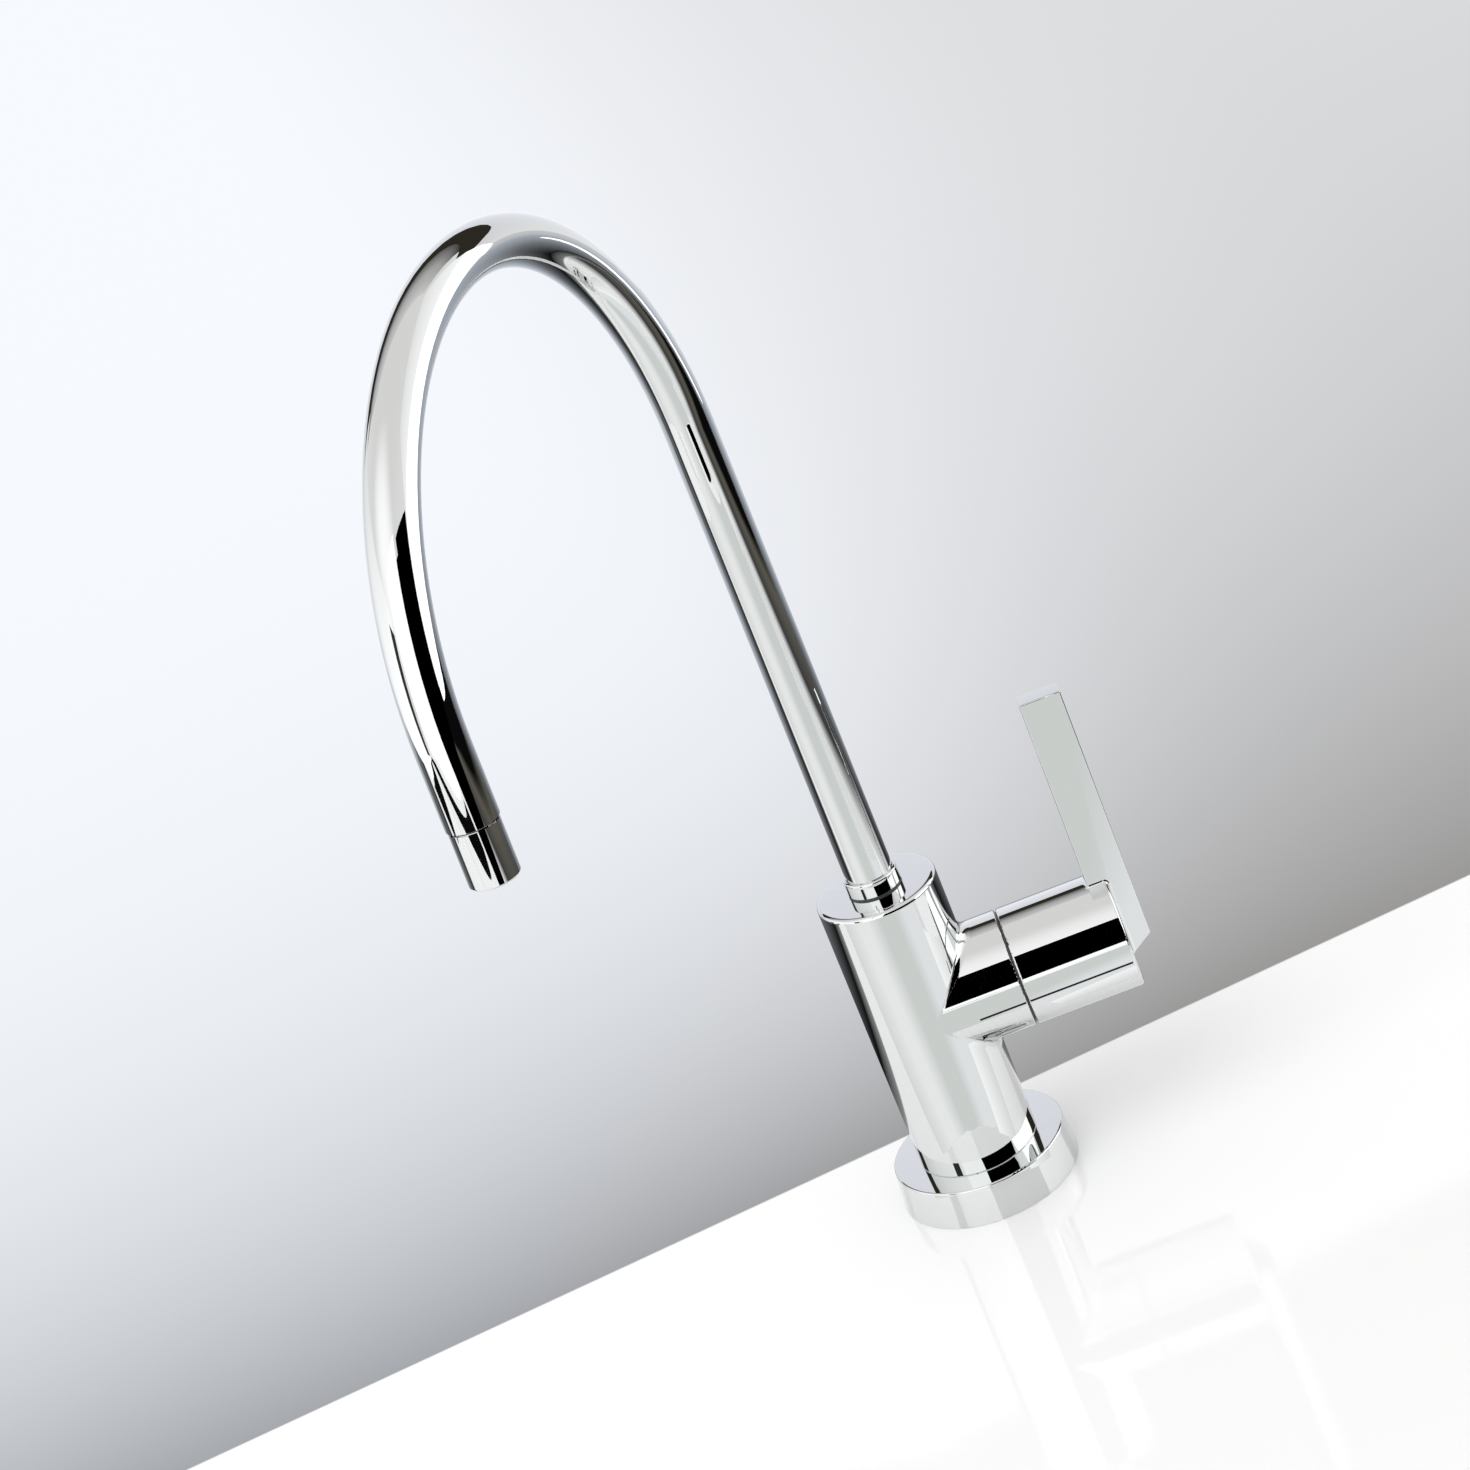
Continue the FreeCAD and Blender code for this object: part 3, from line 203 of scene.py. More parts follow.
class Shader:
    """A node tree that is being written, with short ways to the nodes that it needs."""

    def __init__(self, tree: bpy.types.NodeTree) -> None:
        """Empty a node tree and start writing in it.

        Args:
            tree: the node tree of a material, of the world or of geometry nodes.
        """
        self.tree = tree
        tree.nodes.clear()

    def add(self, kind: str, settings: dict[str, object] | None = None,
            values: dict[object, object] | None = None) -> bpy.types.Node:
        """Add a node, set it up, then fill or link its sockets.

        Args:
            kind: the node's type.
            settings: properties of the node, set before its sockets.
            values: numbers, colours, channels or sockets by socket name or place.

        Returns:
            The node.
        """
        node = self.tree.nodes.new(kind)
        for name, setting in (settings or {}).items():
            setattr(node, name, setting)
        for key, value in (values or {}).items():
            socket = node.inputs[key]
            if isinstance(value, Channel):
                self.tree.links.new(value.socket, socket)
            elif isinstance(value, bpy.types.NodeSocket):
                self.tree.links.new(value, socket)
            else:
                socket.default_value = value
        return node

    def place(self) -> bpy.types.NodeSocket:
        """Give the place on the object, in metres."""
        return self.add("ShaderNodeTexCoord").outputs["Object"]

    def axes(self) -> tuple[Channel, Channel, Channel]:
        """Give the place on the object as three values, in metres."""
        node = self.add("ShaderNodeSeparateXYZ", values={0: self.place()})
        return tuple(Channel(self, output) for output in node.outputs)

    def noise(self, size: float, detail: float = 2.0, roughness: float = 0.5,
              vector: bpy.types.NodeSocket | None = None) -> Channel:
        """Make a noise whose spots are about as large as a size in metres.

        Args:
            size: the size of its spots.
            detail: how many finer layers it has.
            roughness: how strong the finer layers are.
            vector: the place that it reads, or the place on the object.

        Returns:
            The noise, from 0 to 1.
        """
        node = self.add("ShaderNodeTexNoise", values={
            "Vector": vector or self.place(), "Scale": 1.0 / size, "Detail": detail,
            "Roughness": roughness})
        return Channel(self, node.outputs["Fac"])

    def stretched(self, scale: Colour, turn: Colour = (0.0, 0.0, 0.0)) -> bpy.types.NodeSocket:
        """Give the place on the object, squeezed by a scale along each axis and turned."""
        return self.add("ShaderNodeMapping", values={
            "Vector": self.place(), "Scale": scale, "Rotation": turn}).outputs[0]

    def blend(self, share: Number, low: object, high: object) -> bpy.types.NodeSocket:
        """Mix two colours.

        Args:
            share: how much of the second colour shows, from 0 to 1.
            low: the first colour or its socket.
            high: the second colour or its socket.

        Returns:
            The mixed colour's socket.
        """
        node = self.add("ShaderNodeMix", {"data_type": "RGBA"})
        for name, value in (("Factor_Float", share), ("A_Color", low), ("B_Color", high)):
            socket = next(item for item in node.inputs if item.identifier == name)
            if isinstance(value, Channel):
                self.tree.links.new(value.socket, socket)
            elif isinstance(value, bpy.types.NodeSocket):
                self.tree.links.new(value, socket)
            else:
                socket.default_value = (*value, 1.0) if isinstance(value, tuple) else value
        return next(item for item in node.outputs if item.identifier == "Result_Color")

    def relief(self, height: Channel, depth: float,
               normal: bpy.types.NodeSocket | None = None) -> bpy.types.NodeSocket:
        """Turn a height into a bumped normal.

        Args:
            height: the height, from 0 to 1.
            depth: how deep 1 is, in metres.
            normal: a bumped normal to add it to.

        Returns:
            The normal's socket.
        """
        values = {"Height": height, "Distance": depth, "Strength": 1.0}
        if normal is not None:
            values["Normal"] = normal
        return self.add("ShaderNodeBump", values=values).outputs["Normal"]

    def surface(self, base: object, **values: object) -> None:
        """Finish with a Principled surface.

        Args:
            base: the base colour or its socket.
            values: the other inputs by name, with underscores for spaces.
        """
        filled: dict[object, object] = {"Base Color": (*base, 1.0) if isinstance(base, tuple)
                                        else base}
        filled.update({name.replace("_", " "): value for name, value in values.items()})
        shader = self.add("ShaderNodeBsdfPrincipled", values=filled)
        self.add("ShaderNodeOutputMaterial", values={"Surface": shader.outputs[0]})


def scaled(colour: Colour, factor: float) -> Colour:
    """Make a colour darker or lighter by a factor."""
    return (colour[0] * factor, colour[1] * factor, colour[2] * factor)


def new_material(name: str) -> tuple[bpy.types.Material, Shader]:
    """Make an empty node material.

    Args:
        name: the material's name.

    Returns:
        The material and the shader to write in.
    """
    material = bpy.data.materials.new(name)
    material.use_nodes = True
    return material, Shader(material.node_tree)


@dataclass(frozen=True)
class Chrome:
    """Bright polished plate: a deep mirror with a trace of waviness and wiping marks."""

    name: str = "polished_chrome"
    colour: Colour = (0.74, 0.755, 0.75)
    gloss: float = 0.012
    haze: float = 0.022
    film_share: float = 0.35
    film_shade: float = 0.93
    cloud_size: float = 0.012
    wipe_size: float = 0.0011
    wipe_stretch: Colour = (1.0, 0.35, 0.12)
    wipe_turn: Colour = (0.3, 0.5, 0.2)
    swell_size: float = 0.009
    swell_depth: float = 0.000004

    def make(self) -> bpy.types.Material:
        """Build the material.

        Returns:
            The finished material.
        """
        material, shader = new_material(self.name)
        cloud = shader.noise(self.cloud_size, detail=3.0)
        wiped = shader.noise(self.wipe_size, detail=4.0, roughness=0.65,
                             vector=shader.stretched(self.wipe_stretch, self.wipe_turn))
        film = cloud.step(0.56, 0.78) * wiped.step(0.45, 0.75)
        tint = shader.blend(film * self.film_share, self.colour,
                            scaled(self.colour, self.film_shade))
        swell = shader.noise(self.swell_size, detail=1.0)
        shader.surface(tint, Metallic=1.0, Roughness=self.gloss + film * self.haze,
                       Normal=shader.relief(swell, self.swell_depth))
        return material


@dataclass(frozen=True)
class TurnedMetal:
    """Metal straight from the lathe or the press, with fine tool marks round its axis."""

    name: str
    colour: Colour
    dull: Colour
    roughness: float
    pitch: float
    depth: float
    wander: float = 6.0
    wander_size: float = 0.004
    grain_size: float = 0.0004
    tarnish_size: float = 0.006
    mark_share: float = 0.6

    def make(self) -> bpy.types.Material:
        """Build the material.

        Returns:
            The finished material.
        """
        material, shader = new_material(self.name)
        x, y, z = shader.axes()
        reach = (x * x + y * y).root()
        marks = ((reach + z) * (2.0 * math.pi / self.pitch)
                 + shader.noise(self.wander_size, detail=1.0) * self.wander).sine() * 0.5 + 0.5
        grain = shader.noise(self.grain_size, detail=3.0)
        tarnish = shader.noise(self.tarnish_size, detail=5.0, roughness=0.6)
        tint = shader.blend(tarnish.step(0.42, 0.72), self.colour, self.dull)
        height = marks * self.mark_share + grain * (1.0 - self.mark_share)
        shader.surface(tint, Metallic=1.0, Normal=shader.relief(height, self.depth),
                       Roughness=self.roughness + tarnish.step(0.4, 0.8) * 0.16 + grain * 0.05)
        return material


@dataclass(frozen=True)
class MouldedRubber:
    """Black moulded rubber: a fine matt skin with a dusting of talc."""

    name: str = "moulded_rubber"
    colour: Colour = (0.018, 0.018, 0.019)
    dusty: Colour = (0.055, 0.055, 0.054)
    dust_size: float = 0.003
    skin_size: float = 0.00025
    skin_depth: float = 0.00003

    def make(self) -> bpy.types.Material:
        """Build the material.

        Returns:
            The finished material.
        """
        material, shader = new_material(self.name)
        dust = shader.noise(self.dust_size, detail=5.0, roughness=0.65)
        skin = shader.noise(self.skin_size, detail=2.0)
        tint = shader.blend(dust.step(0.45, 0.8), self.colour, self.dusty)
        shader.surface(tint, Roughness=0.52 + dust * 0.2,
                       Normal=shader.relief(skin, self.skin_depth))
        return material


@dataclass(frozen=True)
class DarkAcetal:
    """Dark engineering plastic with a soft sheen and faint turning marks."""

    name: str = "dark_acetal"
    colour: Colour = (0.035, 0.036, 0.04)
    cloud_lift: float = 1.35
    cloud_size: float = 0.002
    grain_size: float = 0.0003
    grain_depth: float = 0.00001

    def make(self) -> bpy.types.Material:
        """Build the material.

        Returns:
            The finished material.
        """
        material, shader = new_material(self.name)
        cloud = shader.noise(self.cloud_size, detail=3.0)
        grain = shader.noise(self.grain_size, detail=2.0)
        tint = shader.blend(cloud, self.colour, scaled(self.colour, self.cloud_lift))
        shader.surface(tint, Roughness=0.3 + cloud * 0.12,
                       Normal=shader.relief(grain, self.grain_depth))
        return material


@dataclass(frozen=True)
class LappedCeramic:
    """Off-white ceramic, lapped flat, with a fine speckle."""

    name: str = "lapped_ceramic"
    colour: Colour = (0.84, 0.83, 0.80)
    speckle_shade: float = 0.9
    speckle_size: float = 0.0002
    speckle_depth: float = 0.000004

    def make(self) -> bpy.types.Material:
        """Build the material.

        Returns:
            The finished material.
        """
        material, shader = new_material(self.name)
        speckle = shader.noise(self.speckle_size, detail=2.0)
        tint = shader.blend(speckle.step(0.55, 0.8), self.colour,
                            scaled(self.colour, self.speckle_shade))
        shader.surface(tint, Roughness=0.12 + speckle * 0.1,
                       Normal=shader.relief(speckle, self.speckle_depth))
        return material


@dataclass
class Finishes:
    """Every finish of the faucet, made once."""

    chrome: bpy.types.Material = field(default_factory=Chrome().make)
    brass: bpy.types.Material = field(default_factory=TurnedMetal(
        "machined_brass", colour=(0.80, 0.60, 0.27), dull=(0.58, 0.41, 0.19), roughness=0.2,
        pitch=0.00028, depth=0.000018).make)
    steel: bpy.types.Material = field(default_factory=TurnedMetal(
        "stamped_steel", colour=(0.60, 0.60, 0.61), dull=(0.42, 0.42, 0.43), roughness=0.26,
        pitch=0.0005, depth=0.000012).make)
    rubber: bpy.types.Material = field(default_factory=MouldedRubber().make)
    acetal: bpy.types.Material = field(default_factory=DarkAcetal().make)
    ceramic: bpy.types.Material = field(default_factory=LappedCeramic().make)

    def of(self, slot: Slot) -> bpy.types.Material:
        """Give the material of a slot."""
        return getattr(self, slot.value)


@dataclass(frozen=True)
class Barrel:
    """A cylinder that a plated solid's surface follows, in millimetres."""

    centre: Colour
    axis: Colour
    radius: float
    tolerance: float = 0.01
    least_facing: float = 0.985

    def normal_at(self, corner: Vector, facet: Vector) -> Vector | None:
        """Give the cylinder's own normal at a corner of a facet.

        Args:
            corner: the corner, in metres.
            facet: the facet's normal.

        Returns:
            The normal, or None where the facet isn't on the cylinder.
        """
        axis = Vector(self.axis)
        arm = corner / MM - Vector(self.centre)
        arm -= axis * arm.dot(axis)
        outward = arm.normalized()
        near = abs(arm.length - self.radius) < self.tolerance
        return outward if near and facet.dot(outward) > self.least_facing else None


@dataclass
class SubAssembly:
    """A named group of pieces that are made and dressed together."""

    finishes: Finishes
    sharp_degrees: float = 10.0
    weld: float = 1e-6

    def build(self, nodes: dict[str, bpy.types.Object]) -> None:
        """Make and dress the group's pieces, given the part's solids by name."""
        raise NotImplementedError

    def show(self, mesh: bpy.types.Mesh, body: Body, slot: Slot, name: str) -> None:
        """Show a mesh in place of a solid, in the finish of its slot.

        Args:
            mesh: the mesh, in metres.
            body: the body that it rides on.
            slot: the finish.
            name: the solid that it replaces.
        """
        mesh.materials.clear()
        mesh.materials.append(self.finishes.of(slot))
        piece = bpy.data.objects.new(mesh.name, mesh)
        bpy.context.scene.collection.objects.link(piece)
        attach(piece, body.value)
        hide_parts(name)
        LOG.info("made %s", mesh.name)

    def dress(self, nodes: dict[str, bpy.types.Object], names: Sequence[str],
              slot: Slot) -> None:
        """Give solids of the part their finish.

        Args:
            nodes: the part's solids by name.
            names: the solids to dress.
            slot: the finish.
        """
        for name in names:
            mesh = nodes[name].data
            mesh.materials.clear()
            mesh.materials.append(self.finishes.of(slot))
            LOG.info("dressed %s in %s", name, slot.value)

    def plate(self, nodes: dict[str, bpy.types.Object], name: str, body: Body,
              barrels: Sequence[Barrel] = ()) -> None:
        """Show a chromed solid through a seamless copy, whose true normals mirror cleanly.

        Args:
            nodes: the part's solids by name.
            name: the solid.
            body: the body that it belongs to.
            barrels: the cylinders that its surface follows.
        """
        work = bmesh.new()
        work.from_mesh(nodes[name].data)
        bmesh.ops.remove_doubles(work, verts=work.verts, dist=self.weld)
        mesh = bpy.data.meshes.new(name + "_plated")
        work.to_mesh(mesh)
        work.free()
        if "custom_normal" in mesh.attributes:
            mesh.attributes.remove(mesh.attributes["custom_normal"])
        mesh.shade_smooth()
        mesh.set_sharp_from_angle(angle=math.radians(self.sharp_degrees))
        normals = [Vector(item.vector) for item in mesh.corner_normals]
        for facet in mesh.polygons:
            for loop in facet.loop_indices:
                corner = mesh.vertices[mesh.loops[loop].vertex_index].co
                for barrel in barrels:
                    normals[loop] = barrel.normal_at(corner, facet.normal) or normals[loop]
        mesh.normals_split_custom_set(normals)
        self.show(mesh, body, Slot.CHROME, name)


@dataclass
class FootAndBody(SubAssembly):
    """The flange on the deck with its gasket, and the upright casting with its boss."""

    column: Barrel = Barrel((0.0, 0.0, 0.0), (0.0, 0.0, 1.0), 15.3)
    boss: Barrel = Barrel((0.0, 0.0, 52.3), (1.0, 0.0, 0.0), 15.1)
    rubber_pieces: tuple[str, ...] = ("flange_gasket",)
    acetal_pieces: tuple[str, ...] = ("boss_washer", "spout_bearing_washer")
    steel_pieces: tuple[str, ...] = ("spout_snap_ring",)

    def build(self, nodes: dict[str, bpy.types.Object]) -> None:
        """Dress the foot and the body.

        Args:
            nodes: the part's solids by name.
        """
        self.plate(nodes, "deck_flange", Body.FAUCET)
        self.plate(nodes, "body_casting", Body.FAUCET, (self.column, self.boss))
        self.dress(nodes, self.rubber_pieces, Slot.RUBBER)
        self.dress(nodes, self.acetal_pieces, Slot.ACETAL)
        self.dress(nodes, self.steel_pieces, Slot.STEEL)


@dataclass
class Handle(SubAssembly):
    """The hub with its lever, the screw that holds it, and the spindle that it turns."""

    hub: Barrel = Barrel((0.0, 0.0, 52.3), (1.0, 0.0, 0.0), 15.1)

    def build(self, nodes: dict[str, bpy.types.Object]) -> None:
        """Dress the handle and the parts that turn with it.

        Args:
            nodes: the part's solids by name.
        """
        self.plate(nodes, "lever_handle", Body.HANDLE, (self.hub,))
        self.dress(nodes, ("handle_grub_screw", "spindle_circlip"), Slot.STEEL)
        self.dress(nodes, ("cartridge_spindle",), Slot.BRASS)
        self.dress(nodes, ("spindle_o_ring",), Slot.RUBBER)
        self.dress(nodes, ("moving_disc",), Slot.CERAMIC)


@dataclass
class Cartridge(SubAssembly):
    """The fixed parts of the valve."""

    def build(self, nodes: dict[str, bpy.types.Object]) -> None:
        """Dress the fixed parts of the valve.

        Args:
            nodes: the part's solids by name.
        """
        self.dress(nodes, ("cartridge_housing",), Slot.BRASS)
        self.dress(nodes, ("cartridge_seat_seal", "cartridge_o_ring"), Slot.RUBBER)
        self.dress(nodes, ("fixed_disc",), Slot.CERAMIC)


@dataclass
class Spout(SubAssembly):
    """The gooseneck with its bush and its outlet."""

    def build(self, nodes: dict[str, bpy.types.Object]) -> None:
        """Dress the spout.

        Args:
            nodes: the part's solids by name.
        """
        for name in ("spout_tube", "spout_bush", "outlet_tip"):
            self.plate(nodes, name, Body.SPOUT)
        self.dress(nodes, ("upper_spout_o_ring", "lower_spout_o_ring", "outlet_seal"),
                   Slot.RUBBER)
        self.dress(nodes, ("outlet_screen",), Slot.STEEL)
        self.dress(nodes, ("flow_straightener",), Slot.ACETAL)


@dataclass(frozen=True)
class Thread:
    """A right-hand thread round a bore, or with no depth a plain sleeve, in millimetres."""

    low: float
    high: float
    radius: float
    depth: float
    low_chamfer: float = 0.0
    high_chamfer: float = 0.0
    pitch: float = 1.0
    bore: float = 4.0


@dataclass
class ThreadCutter:
    """The geometry nodes that wind threads, as closed sleeves of clean helical rows."""

    material: bpy.types.Material
    around: int = 48
    rows_per_turn: int = 10
    crest_edge: float = 0.08
    root_edge: float = 0.42
    spare_turns: float = 1000.0
    weld: float = 0.000002
    tree: bpy.types.NodeTree | None = None

    def write(self) -> None:
        """Write the nodes: a grid is rolled up, its rows climb, and its ends meet in the bore."""
        self.tree = bpy.data.node_groups.new("cut_thread", "GeometryNodeTree")
        for item in ThreadInput:
            kind = "NodeSocketInt" if item is ThreadInput.ROWS else "NodeSocketFloat"
            self.tree.interface.new_socket(item.value, in_out="INPUT", socket_type=kind)
        self.tree.interface.new_socket("Thread", in_out="OUTPUT",
                                       socket_type="NodeSocketGeometry")
        graph = Shader(self.tree)
        given = graph.add("NodeGroupInput")
        radius, pitch, depth, low, high, bore, low_chamfer, high_chamfer, rows = (
            Channel(graph, given.outputs[item.value]) for item in ThreadInput)
        grid = graph.add("GeometryNodeMeshGrid", values={
            "Size X": 1.0, "Size Y": 1.0, "Vertices X": self.around + 1, "Vertices Y": rows})
        spot = graph.add("ShaderNodeSeparateXYZ", values={
            0: graph.add("GeometryNodeInputPosition").outputs[0]})
        turn = Channel(graph, spot.outputs[0]) + 0.5
        row = ((Channel(graph, spot.outputs[1]) + 0.5) * (rows - 1.0)).whole()
        climb = low - pitch + (row - 1.0) * pitch / float(self.rows_per_turn) + pitch * turn
        height = climb.larger(low).smaller(high)
        phase = (height / pitch - turn + self.spare_turns).fraction() - 0.5
        groove = phase.size().step(self.crest_edge, self.root_edge)
        crest = radius - depth * groove
        crest = crest.smaller(radius - low_chamfer + (height - low))
        crest = crest.smaller(radius - high_chamfer + (high - height))
        inner = (1.0 - row).larger(0.0) + (row - (rows - 3.0)).larger(0.0).smaller(1.0)
        closing = (row - (rows - 2.0)).larger(0.0)
        reach = crest + (bore - crest) * inner
        rise = height + (low - height) * closing
        angle = turn * (2.0 * math.pi)
        target = graph.add("ShaderNodeCombineXYZ", values={
            0: reach * angle.cosine(), 1: reach * angle.sine(), 2: rise})
        moved = graph.add("GeometryNodeSetPosition", values={
            "Geometry": grid.outputs["Mesh"], "Position": target.outputs[0]})
        merged = graph.add("GeometryNodeMergeByDistance", values={
            "Geometry": moved.outputs[0], "Distance": self.weld})
        real = graph.add("GeometryNodeRealizeInstances", values={
            "Geometry": merged.outputs[0]})
        dressed = graph.add("GeometryNodeSetMaterial", values={
            "Geometry": real.outputs[0], "Material": self.material})
        graph.add("NodeGroupOutput", values={"Thread": dressed.outputs[0]})

    def cut(self, thread: Thread) -> bpy.types.Mesh:
        """Cut one thread.

        Args:
            thread: its sizes.

        Returns:
            A plain mesh.
        """
        rise = thread.pitch / self.rows_per_turn
        rows = 4 + math.ceil((thread.high - thread.low + thread.pitch) / rise + 0.001)
        sizes: dict[ThreadInput, float] = {
            ThreadInput.RADIUS: thread.radius, ThreadInput.PITCH: thread.pitch,
            ThreadInput.DEPTH: thread.depth, ThreadInput.LOW: thread.low,
            ThreadInput.HIGH: thread.high, ThreadInput.BORE: thread.bore,
            ThreadInput.LOW_CHAMFER: thread.low_chamfer,
            ThreadInput.HIGH_CHAMFER: thread.high_chamfer}
        blank = bpy.data.objects.new("thread_blank", bpy.data.meshes.new("thread_blank"))
        bpy.context.scene.collection.objects.link(blank)
        modifier = blank.modifiers.new("cut_thread", "NODES")
        modifier.node_group = self.tree
        for socket in self.tree.interface.items_tree:
            if socket.in_out == "INPUT":
                item = ThreadInput(socket.name)
                modifier[socket.identifier] = rows if item is ThreadInput.ROWS \
                    else sizes[item] * MM
        shown = blank.evaluated_get(bpy.context.evaluated_depsgraph_get())
        mesh = bpy.data.meshes.new_from_object(shown)
        blank.modifiers.remove(modifier)
        bpy.data.objects.remove(blank)
        return mesh


@dataclass
class DeckFixing(SubAssembly):
    """The stud through the deck and what clamps it."""

    stud_threads: tuple[Thread, ...] = (
        Thread(-44.8, 24.0, 6.0, 0.55, high_chamfer=0.8),
        Thread(-46.0, -44.8, 5.0, 0.0),
        Thread(-62.0, -46.0, 5.55, 0.5, low_chamfer=0.8))
    hexagon_flats: float = 17.0
    hexagon_low: float = 3.5
    hexagon_high: float = 6.5
    hexagon_turn: float = 90.0
    thread_sharp_degrees: float = 40.0

    def cut_stud(self, name: str) -> None:
        """Show the stud with its threads cut.

        Args:
            name: the stud's solid.
        """
        cutter = ThreadCutter(self.finishes.brass)
        cutter.write()
        work = bmesh.new()
        for thread in self.stud_threads:
            work.from_mesh(cutter.cut(thread))
        middle = (self.hexagon_low + self.hexagon_high) / 2.0 * MM
        corner = self.hexagon_flats / 2.0 / math.cos(math.pi / 6.0) * MM
        bmesh.ops.create_cone(
            work, cap_ends=True, segments=6, radius1=corner, radius2=corner,
            depth=(self.hexagon_high - self.hexagon_low) * MM,
            matrix=Matrix.Translation((0.0, 0.0, middle))
            @ Matrix.Rotation(math.radians(self.hexagon_turn), 4, "Z"))
        mesh = bpy.data.meshes.new(name + "_cut")
        work.to_mesh(mesh)
        work.free()
        mesh.shade_smooth()
        mesh.set_sharp_from_angle(angle=math.radians(self.thread_sharp_degrees))
        self.show(mesh, Body.FAUCET, Slot.BRASS, name)

    def build(self, nodes: dict[str, bpy.types.Object]) -> None:
        """Dress the fixing under the deck.

        Args:
            nodes: the part's solids by name.
        """
        self.cut_stud("threaded_shank")
        self.dress(nodes, ("mounting_nut",), Slot.BRASS)
        self.dress(nodes, ("deck_steel_washer", "lock_washer"), Slot.STEEL)
        self.dress(nodes, ("deck_rubber_washer", "shank_o_ring"), Slot.RUBBER)


@dataclass(frozen=True)
class Panel:
    """A flat panel that only mirrors see. Its colour may differ from corner to corner.

    Sizes are in millimetres, the corners go round in order, and a colour of 1 is white. A panel
    that lies on the deck is seen from above only, so the deck doesn't mirror it.
    """

    name: str
    corners: tuple[Colour, Colour, Colour, Colour]
    colours: tuple[Colour, Colour, Colour, Colour]
    cells: int = 8

    @staticmethod
    def between(values: Sequence[Colour], across: float, up: float) -> Vector:
        """Blend four corner values.

        Args:
            values: the values of the corners, in order round the panel.
            across: the place between the first and the second corner, from 0 to 1.
            up: the place between the first and the last corner, from 0 to 1.

        Returns:
            The blended value.
        """
        first, second, third, fourth = (Vector(value) for value in values)
        return first.lerp(second, across).lerp(fourth.lerp(third, across), up)

    def hang(self) -> None:
        """Hang the panel in the studio."""
        count = self.cells + 1
        spots = [(column / self.cells, row / self.cells)
                 for row in range(count) for column in range(count)]
        faces = [(start, start + 1, start + count + 1, start + count)
                 for row in range(self.cells) for start in
                 range(row * count, row * count + self.cells)]
        mesh = bpy.data.meshes.new(self.name)
        mesh.from_pydata([self.between(self.corners, *spot) * MM for spot in spots], [], faces)
        paint = mesh.color_attributes.new("glow", "FLOAT_COLOR", "POINT")
        for point, spot in zip(paint.data, spots):
            point.color = (*self.between(self.colours, *spot), 1.0)
        material, shader = new_material(self.name + "_face")
        glow = shader.add("ShaderNodeAttribute", {"attribute_name": "glow"})
        face = shader.add("ShaderNodeEmission", values={
            "Color": glow.outputs["Color"], "Strength": 1.0})
        if len({corner[2] for corner in self.corners}) == 1:
            if mesh.polygons[0].normal.z < 0.0:
                mesh.flip_normals()
            underside = shader.add("ShaderNodeNewGeometry").outputs["Backfacing"]
            clear = shader.add("ShaderNodeBsdfTransparent")
            face = shader.add("ShaderNodeMixShader", values={
                0: underside, 1: face.outputs[0], 2: clear.outputs[0]})
        shader.add("ShaderNodeOutputMaterial", values={"Surface": face.outputs[0]})
        mesh.materials.append(material)
        thing = bpy.data.objects.new(self.name, mesh)
        bpy.context.scene.collection.objects.link(thing)
        thing.visible_camera = False
        thing.visible_diffuse = False
        thing.visible_shadow = False
        LOG.info("hung %s", self.name)


def grey(level: float, warmth: float = 0.0) -> Colour:
    """Give a grey, warmer or, below 0, cooler by a small share."""
    return (level * (1.0 + warmth), level, level * (1.0 - warmth))


def wall(name: str, start: tuple[float, float], end: tuple[float, float], low: float,
         high: float, colours: tuple[Colour, Colour, Colour, Colour]) -> Panel:
    """Stand a panel upright on a line.

    Args:
        name: the panel's name.
        start: the line's first end, x and y.
        end: its other end.
        low: the height of the lower edge.
        high: the height of the upper edge.
        colours: the colours at the lower edge's two ends, then the upper edge's, backwards.

    Returns:
        The panel.
    """
    return Panel(name, ((*start, low), (*end, low), (*end, high), (*start, high)), colours)


